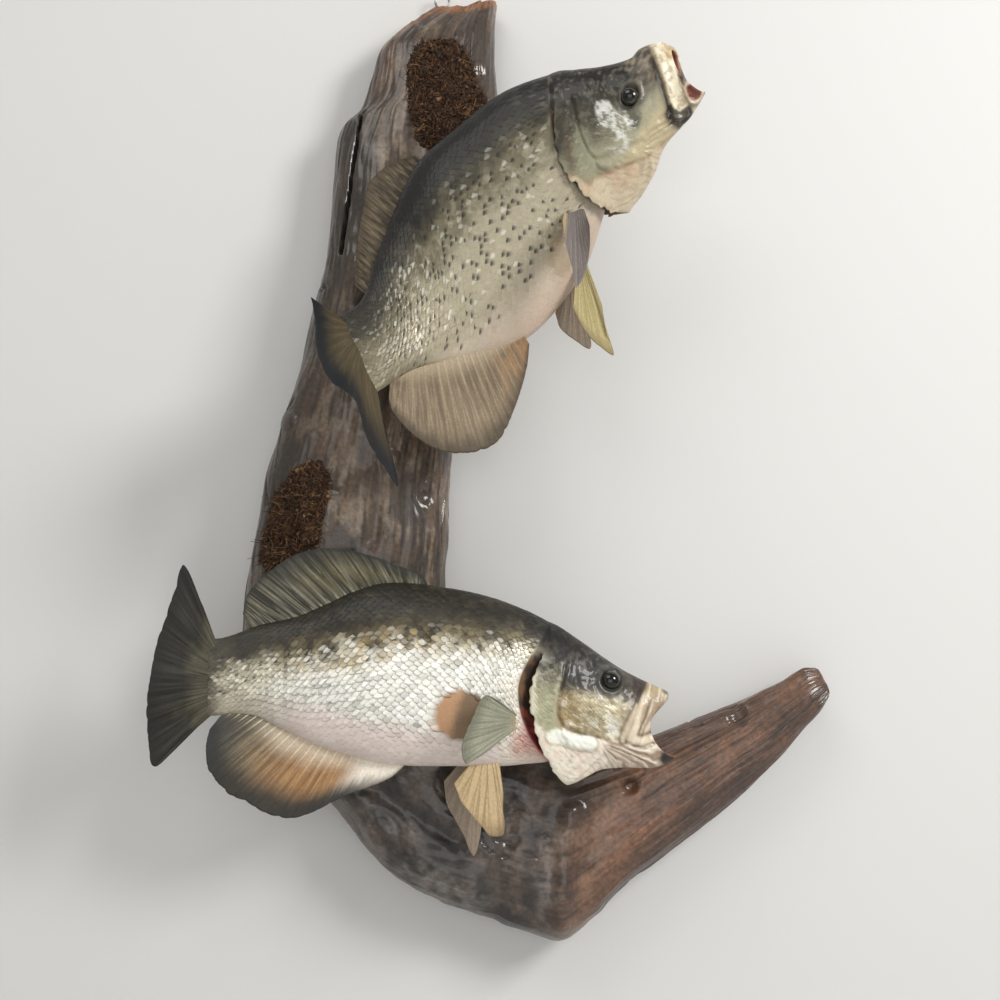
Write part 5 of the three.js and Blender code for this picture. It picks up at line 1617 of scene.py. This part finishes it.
# %% Grain, checks, knots and colour of the wood
SPLIT_LINE = [(-28, 184), (-35.5, 130), (-41.4, 70)]
KNOTS = [(-11, -366, 15, 3.4), (257.5, -282, 7.5, -3.5), (176, -332, 6.5, -6),
         (46, -330, 13, -2.5), (-3, -92, 9, 2.4), (24, -118, 6, -1.8), (-80, -60, 8, 2.2),
         (18, 262, 6, -2)]
SWELLS = [((20, -385), (70, -408), 11, 5.0), ((124, -430), (132, -352), 9, 5.5),
          ((-60, -330), (-20, -372), 8, -3.5), ((-20, -330), (50, -372), 7, -3.0),
          ((78, -420), (88, -340), 9, -3.5), ((-30, 60), (-46, -60), 8, 3.0),
          ((12, 40), (-14, -150), 7, -3.0), ((60, 150), (64, 215), 6, -2.0)]
GLARES = [([(112, -428), (117, -372)], 7), ([(0, -384), (58, -410)], 12),
          ([(-62, -322), (-34, -300)], 12), ([(-12, -352), (14, -366)], 10),
          ([(46, -352), (96, -340)], 9), ([(-30, -10), (-26, -70)], 13)]


def wood_relief(t, around, x, z, front):
    flow = spread_out(around, t, t, 0)
    swirl = 22 * (fractal(flow, (70, 90, 9), 203) - 0.5)
    for kx, kz, size, _ in KNOTS:
        away = np.hypot(x - kx, z - kz)
        swirl = swirl + 0.7 * size * bell(away, 1.7 * size)
    grain = spread_out(around + swirl, t, t, 0)
    lift = 8.0 * (fractal(grain, (52, 110, 9), 205, 2) - 0.5)
    lift += 2.2 * (fractal(grain, (15, 60, 9), 207, 3) - 0.5)
    ridge = fractal(grain, (5.2, 38, 9), 209, 3) - 0.5
    fine = field(grain, (2.0, 22, 9), 211) - 0.5
    lift += 1.3 * ridge + 0.6 * fine
    flat = spread_out(x, z, x, 0)
    bulge = step(-205, -290, z) * step(190, 120, x)
    lift = lift * (1 - 0.45 * bulge)
    lift += (1.4 + 4.6 * bulge) * (fractal(flat, (30, 24, 9), 217, 4) - 0.5)
    check = bell(fractal(grain, (17, 95, 9), 213, 2) - 0.5, 0.011)
    check = check * step(0.54, 0.68, field(grain, (30, 60, 9), 215))
    lift -= 2.4 * check
    for kx, kz, size, height in KNOTS:
        away = np.hypot(x - kx, z - kz) / size
        lift += front * height * step(1.25, 0.35, away)
        lift += front * 0.4 * np.sin(away * 11) * step(2.0, 0.9, away) * step(0.5, 1, away)
    for start, end, size, height in SWELLS:
        lift += front * height * bell(away_from(x, z, [start, end]), size)
    split = away_from(x, z, SPLIT_LINE) + 0.8 * ridge
    lift -= front * 9 * step(2.1, 0.9, split)
    return lift, ridge, fine, check, step(2.6, 1.2, split)


def wood_paint(t, around, x, z, ridge, fine, check, split):
    flow = spread_out(around, t, t, 0)
    patch = fractal(flow, (30, 60, 9), 221) - 0.5
    streak = fractal(flow, (2.2, 40, 9), 223, 3) - 0.5
    mix = 0.3 + 0.7 * ridge + 0.8 * streak + 1.9 * patch
    colour = Paint((58, 45, 34), (98, 79, 60), mix)
    flat = spread_out(x, z, x, 0)
    blot = fractal(flat, (13, 16, 9), 225, 4) - 0.5
    # Pale weathered streaks, which also serve as painted glare on the varnish.
    pale = step(0.05, 0.3, 0.5 * streak + 0.4 * ridge + 0.5 * patch + 1.1 * blot)
    colour.lay((146, 130, 110), 0.5 * pale)
    colour.lay((40, 31, 24), 0.8 * step(-0.08, -0.32, 0.5 * ridge + fine * 0.3 + streak))
    colour.lay((92, 66, 48), 0.3 * step(0.0, 0.25, patch + 0.5 * streak))
    # Painted shade along the left edge of the trunk.
    colour.lay((40, 32, 25), 0.75 * step(62, 14, around + 50 * patch) * step(-230, -150, z))
    bulge = step(-205, -290, z) * step(170, 100, x)
    dark = blend((34, 28, 26), (88, 74, 65), 0.4 + 3.0 * blot + 0.5 * streak)
    colour.lay(dark, 0.94 * bulge)
    speckle = fractal(flat, (5, 9, 9), 227, 3) - 0.5
    for line, width in GLARES:
        shine = bell(away_from(x, z, line), width) * step(-0.12, 0.2, speckle)
        colour.lay((150, 142, 137), 0.4 * shine)
    branch = step(100, 175, x - 0.15 * (z + 400)) * step(-200, -250, z)
    mix = 0.45 + 0.3 * ridge + 0.9 * streak + 1.6 * patch + 1.2 * blot
    red = blend((78, 54, 39), (132, 91, 66), mix)
    red = blend(red, (56, 40, 31), 0.6 * step(-0.12, -0.3, 0.6 * ridge + 0.8 * streak))
    colour.lay(red, 0.92 * branch)
    # Painted shade along the underside of the branch.
    under = away_from(x, z, [(150, -432), (230, -364), (276, -327), (322, -279)])
    colour.lay((56, 42, 37), 0.7 * branch * step(26, 5, under + 20 * patch))
    sawn = away_from(x, z, [(-20, 243), (24, 279), (84, 290)]) + 8 * patch
    colour.lay(blend((118, 74, 44), (160, 108, 68), 0.5 + 2 * fine + ridge),
               0.85 * step(11, 4, sawn))
    edge = step(-8, -22, x - 0.3 * (z - 190)) * step(80, 150, z)
    colour.lay((94, 62, 44), 0.4 * edge * step(-0.1, 0.2, patch + streak))
    for kx, kz, size, height in KNOTS:
        away = np.hypot(x - kx, z - kz) / size
        colour.lay((44, 33, 28), 0.6 * step(1.3, 0.3, away) * (height < 0))
        colour.lay((60, 46, 38), 0.4 * bell(away - 1.1, 0.2))
    colour.lay((30, 23, 20), np.maximum(0.8 * check, 0.9 * split))
    return colour.mix


wood_material, tree, shader = new_material("varnished driftwood", 0.46, 0.75, 0.16)
broken_paint(tree, shader, 300, 0.36)
cracks = noise_node(tree, 150, 9.0)
cracks.inputs["Roughness"].default_value = 0.72
add_bump(tree, shader, cracks, 0.002, 0.7)
print("knots:", len(KNOTS), "swells:", len(SWELLS))

# %% Shaping the wood, with a bed for each fish
from mathutils import Vector
from mathutils.bvhtree import BVHTree


def skin_tree(piece):
    return BVHTree.FromObject(piece, bpy.context.evaluated_depsgraph_get())


def cast(tree, places, start, aim, missed):
    """How far off the wall, in mm, a ray at each place (x, z) meets a piece."""
    hits = [tree.ray_cast(Vector((x, start, z)), Vector((0, aim, 0)))[0] for x, z in places / 1000]
    return np.array([missed if hit is None else -hit.y * 1000 for hit in hits])


def shape_wood():
    t = np.linspace(0, run[-1], WOOD_ROWS)[:, None]
    angle = wood_angle[None, :]
    points = wood_form(t, angle)
    steps = np.linalg.norm(points - np.roll(points, 1, 1), axis=-1)
    around = np.cumsum(steps, 1) - steps[:, :1]
    around = around / around[:, -1:].clip(1) * WOOD_GIRTH
    around, along = np.broadcast_arrays(around, t)
    normals = grid_normals(points)
    if (normals[:, WOOD_AROUND // 3, 2]).mean() < 0:
        normals = -normals
    x, z = points[..., 0], points[..., 1]
    front = step(-0.1, 0.35, np.sin(angle)) + 0 * x
    lift, ridge, fine, check, split = wood_relief(along, around, x, z, front)
    blended = step(0.0, 0.06, np.abs(np.linspace(-1, 1, WOOD_AROUND)))[None, :]
    lift = lift * step(-0.75, -0.1, np.sin(angle)) * blended
    points = points + normals * lift[..., None]
    colours = wood_paint(along, around, x, z, ridge, fine, check, split * front)
    points[..., 2] = np.maximum(points[..., 2], 0)
    return points, colours


def sink_beds(points):
    flat = points.reshape(-1, 3)
    raised = flat[:, 2] > 20
    for piece in (skin, second_skin):
        depth = cast(skin_tree(piece), flat[raised][:, :2], 0.02, -1, 1e6)
        flat[raised, 2] = np.minimum(flat[raised, 2], depth - 0.8)
    return points


def make_wood():
    points, colours = shape_wood()
    points = sink_beds(points)
    middle = points.mean(1, keepdims=True)
    cap = lambda row, share: (middle[row] + (points[row] - middle[row]) * share)[None]
    top = [cap(0, share) for share in (0.0, 0.35, 0.7, 0.95)]
    tip = [cap(-1, share) for share in (0.96, 0.8, 0.4, 0.0)]
    for row, out in zip(tip, (0.6, 2.4, 3.6, 4.0)):
        row[..., 0] += 0.8 * out
        row[..., 1] += 0.6 * out
    points = np.concatenate(top + [points] + tip)
    sawn = blend((126, 78, 46), (166, 112, 70),
                 0.5 + 1.5 * (fractal(np.concatenate(top), (5, 30, 5), 231) - 0.5))
    colours = np.concatenate([sawn, colours, np.repeat(colours[-1:], len(tip), 0)])
    piece = grid_piece("driftwood_grain", wall_place(closed(points)))
    paint_piece(piece, closed(colours))
    close_up(piece)
    return piece


wood = make_wood()
finish_piece(wood, ["driftwood"], wood_material)

# %% [markdown]
# ## Moss and the hanger
# The moss is a pad of dry crumbs with fibres standing out of it, glued on the wood. The hanger is
# a bent wire eye at the top.

# %% Crumbs and fibres of the moss
MOSS_TOP = [
    (8.4, 222.9), (17.7, 240.7), (41, 245.6), (56.7, 231), (66.4, 198.7), (74.5, 180.6),
    (60.5, 164.1), (45.2, 154.6), (25.9, 150.6), (14.3, 158.6), (8.7, 190.6),
]
MOSS_SIDE = [
    (-71, -95.2), (-54.5, -92.1), (-46.7, -105.8), (-51.6, -136.1), (-56.6, -157.2),
    (-71.5, -166.2), (-92.2, -177.7), (-100, -166.2), (-97, -136.1), (-87.4, -113.4),
]
STRAND_STEPS = 6            # rings of three corners along one fibre
CRUMB = np.array([[1, 0, 0], [-1, 0, 0], [0, 1, 0], [0, -1, 0], [0, 0, 1], [0, 0, -1]], float)
CRUMB_FACES = np.array([[0, 2, 4], [2, 1, 4], [1, 3, 4], [3, 0, 4],
                        [2, 0, 5], [1, 2, 5], [3, 1, 5], [0, 3, 5]])
MOSS_TONES = np.array([tone(58, 39, 26), tone(78, 53, 34), tone(40, 28, 20), tone(104, 74, 47),
                       tone(66, 46, 31), tone(126, 96, 64)])


def random_turns(rng, count):
    """Turns by random angles about z, then x, then z again."""
    turns = []
    for angle, (i, j) in zip(rng.uniform(0, 2 * np.pi, (3, count)), ((0, 1), (1, 2), (0, 1))):
        turn = np.tile(np.eye(3)[..., None], count)
        turn[i, i] = turn[j, j] = np.cos(angle)
        turn[i, j], turn[j, i] = -np.sin(angle), np.sin(angle)
        turns.append(turn)
    return np.einsum("ijn,jkn,kln->nil", *turns)


def surface_spots(rng, tree, outline, count):
    """Random spots inside an outline, on the wood below it, as world mm with depth inside."""
    outline = np.array(outline)
    low, high = outline.min(0), outline.max(0)
    places = rng.uniform(low - 2, high + 2, (count * 3, 2))
    depth = inside_depth(places[:, 0], places[:, 1], outline)
    depth = depth + 5 * (fractal(np.column_stack([places, 0 * depth]), 9, 241) - 0.5)
    keep = depth > 0
    places, depth = places[keep][:count], depth[keep][:count]
    height = cast(tree, places, -0.3, 1, 20)
    return np.column_stack([places[:, 0], -height, places[:, 1]]), depth


def make_moss(name, outline, crumbs, fibres, seed):
    rng = np.random.default_rng(seed)
    tree = skin_tree(wood)
    spots, depth = surface_spots(rng, tree, outline, crumbs)
    lump = fractal(spots, (11, 40, 11), 243) * 5.5 * step(-0.5, 5, depth)
    spots[:, 1] -= lump * rng.uniform(0, 1, len(spots)) ** 0.6
    size = rng.uniform(1.0, 2.6, (len(spots), 1, 1)) * rng.uniform(0.5, 1.3, (len(spots), 6, 1))
    turned = np.einsum("nij,kj->nki", random_turns(rng, len(spots)), CRUMB)
    points = spots[:, None, :] + turned * size
    faces = copied_faces(CRUMB_FACES, len(CRUMB), len(spots))
    paint = MOSS_TONES[rng.choice(len(MOSS_TONES), len(spots), p=(0.3, 0.25, 0.2, 0.1, 0.1, 0.05))]
    paint = np.repeat(paint[:, None], len(CRUMB), 1)
    paint = paint * rng.uniform(0.7, 1.25, (len(spots), len(CRUMB), 1))
    roots, depth = surface_spots(rng, tree, outline, fibres)
    count = len(roots)
    roots[:, 1] -= 3.5 * step(-0.5, 4, depth)
    heading = rng.normal(0, 1, (count, 3))
    heading[:, 1] = -np.abs(heading[:, 1]) * 0.8
    heading = unit(heading)
    bend = rng.normal(0, 0.8, (count, 3))
    length = rng.uniform(2.5, 6.5, (count, 1, 1))
    t = np.linspace(0, 1, STRAND_STEPS)[None, :, None]
    line = roots[:, None] + length * (heading[:, None] * t + bend[:, None] * t * t * 0.6)
    line[..., 1] = np.minimum(line[..., 1], roots[:, None, 1] + 1.0)
    side = unit(np.cross(heading, rng.normal(0, 1, (count, 3))))
    other = np.cross(heading, side)
    thick = 0.42 * (1 - 0.5 * t)
    corners = [side, -0.5 * side + 0.87 * other, -0.5 * side - 0.87 * other]
    strand = np.stack([line + thick * corner[:, None] for corner in corners], 2)
    strands = copied_faces(grid_faces(STRAND_STEPS, 3, wrap=True), STRAND_STEPS * 3, count)
    strands = strands + len(points) * len(CRUMB)
    shade = MOSS_TONES[rng.choice(len(MOSS_TONES), count, p=(0.24, 0.28, 0.12, 0.2, 0.1, 0.06))]
    shade = np.repeat(shade[:, None], STRAND_STEPS * 3, 1)
    every = np.concatenate([points.reshape(-1, 3), strand.reshape(-1, 3)]) / 1000
    piece = mesh_piece(name, every, faces, strands)
    paint_piece(piece, np.concatenate([paint.reshape(-1, 3), shade.reshape(-1, 3)]))
    return piece


moss_material, tree, shader = new_material("dry moss", 0.8, 0.1, 0.4)
broken_paint(tree, shader, 900, 0.3)
for where, outline, crumbs, fibres, seed in (("top", MOSS_TOP, 3600, 1500, 51),
                                             ("side", MOSS_SIDE, 2400, 1000, 52)):
    pad = make_moss(f"moss_crumbs_{where}", outline, crumbs, fibres, seed)
    finish_piece(pad, [f"moss_{where}"], moss_material)

# %% The wire hanger
WIRE_RADIUS, LOOP_RADIUS = 0.9, 5.6      # mm
wire_material, tree, shader = new_material("steel wire", 0.32, 0.0)
shader.inputs["Metallic"].default_value = 1.0
ramp = add_node(tree, "ValToRGB")
ramp.color_ramp.elements[0].color = (*tone(120, 118, 114), 1)
ramp.color_ramp.elements[1].color = (*tone(176, 176, 174), 1)
tree.links.new(noise_node(tree, 600).outputs["Fac"], ramp.inputs["Fac"])
tree.links.new(ramp.outputs["Color"], shader.inputs["Base Color"])
loop_low, loop_high = (np.array(corner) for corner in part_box("hanger_loop"))
loop_centre = ((loop_low[0] + loop_high[0]) / 2, (loop_low[1] + loop_high[1]) / 2,
               loop_high[2] - (LOOP_RADIUS + WIRE_RADIUS) / 1000)
bpy.ops.mesh.primitive_torus_add(major_radius=LOOP_RADIUS / 1000, minor_radius=WIRE_RADIUS / 1000,
                                 major_segments=64, minor_segments=16, location=loop_centre,
                                 rotation=(math.pi / 2, 0, 0))
wire_eye = bpy.context.active_object
stem_top = loop_centre[2] - (LOOP_RADIUS - 0.4) / 1000
stem_length = stem_top - loop_low[2]
bpy.ops.mesh.primitive_cylinder_add(vertices=24, radius=WIRE_RADIUS / 1000, depth=stem_length,
                                    location=(loop_centre[0], loop_centre[1],
                                              stem_top - stem_length / 2))
hanger = bpy.context.active_object
wire_eye.select_set(True)
bpy.ops.object.join()
bpy.ops.object.transform_apply(location=True, rotation=True, scale=True)
hanger.name = "wire_hanger"
hanger.data.shade_smooth()
finish_piece(hanger, ["hanger_loop"], wire_material)

# %% [markdown]
# ## Stage, light and camera
# The mount hangs on a pale wall, in the light of a window, the sky and a weak fill, at a level
# where a colour renders about as it is written. The wall's back is clear, so that the mount can
# be looked at from behind. The camera stands a little below the middle and looks slightly up.

# %% The wall, the floor, the lamps and the camera
def plain_stage(name, colour, one_sided=False):
    material, tree, shader = new_material(name, 0.9, 0, 0.03, gloss=0.5)
    shader.inputs["Base Color"].default_value = (*colour, 1)
    if one_sided:
        facing, clear, choose = (add_node(tree, kind) for kind in
                                 ("NewGeometry", "BsdfTransparent", "MixShader"))
        tree.links.new(facing.outputs["Backfacing"], choose.inputs["Fac"])
        tree.links.new(shader.outputs["BSDF"], choose.inputs[1])
        tree.links.new(clear.outputs["BSDF"], choose.inputs[2])
        tree.links.new(choose.outputs["Shader"], tree.nodes["Material Output"].inputs["Surface"])
    return material


FLOOR_HEIGHT = -0.78
for name, place, tilt, material in (
        ("wall_backdrop", (0, 0.004, 2.2), math.pi / 2,
         plain_stage("pale wall", tone(214, 214, 213), one_sided=True)),
        ("floor", (0, 0, FLOOR_HEIGHT), 0, plain_stage("pale floor", tone(208, 208, 206)))):
    bpy.ops.mesh.primitive_plane_add(size=9, location=place, rotation=(tilt, 0, 0))
    backdrop = bpy.context.active_object
    backdrop.name = name
    backdrop.data.materials.append(material)


def soft_lamp(name, place, aim, width, height, power, colour):
    lamp = bpy.data.lights.new(name, "AREA")
    lamp.shape = "RECTANGLE"
    lamp.size, lamp.size_y = width, height
    lamp.energy = power
    lamp.color = colour
    fixture = bpy.data.objects.new(name, lamp)
    bpy.context.scene.collection.objects.link(fixture)
    fixture.location = place
    direction = np.array(aim, float) - np.array(place, float)
    fixture.rotation_euler = (math.acos(-direction[2] / np.linalg.norm(direction)), 0,
                              math.atan2(direction[1], direction[0]) - math.pi / 2)


soft_lamp("window", (1.3, -1.25, 0.62), (0.05, 0, -0.1), 0.55, 0.55, 22, (1.0, 0.985, 0.96))
soft_lamp("sky", (-0.7, -1.5, 1.5), (0.05, 0, -0.1), 1.3, 1.0, 11.5, (1.0, 0.985, 0.955))
soft_lamp("front fill", (0.0, -2.3, -0.2), (0.05, 0, -0.15), 1.6, 1.2, 8, (1.0, 1.0, 0.985))
world = bpy.data.worlds.new("room")
bpy.context.scene.world = world
world.use_nodes = True
room_light = world.node_tree.nodes["Background"].inputs
room_light["Color"].default_value = (1.0, 0.985, 0.955, 1)
room_light["Strength"].default_value = 0.42

view = bpy.data.cameras.new("camera")
view.lens = 50
view.sensor_width = 36
camera = bpy.data.objects.new("camera", view)
bpy.context.scene.collection.objects.link(camera)
camera.location = (0.080, -1.09048, -0.23037)
camera.rotation_euler = (math.radians(96), 0, 0)
bpy.context.scene.camera = camera
bpy.context.scene.view_settings.view_transform = "Standard"
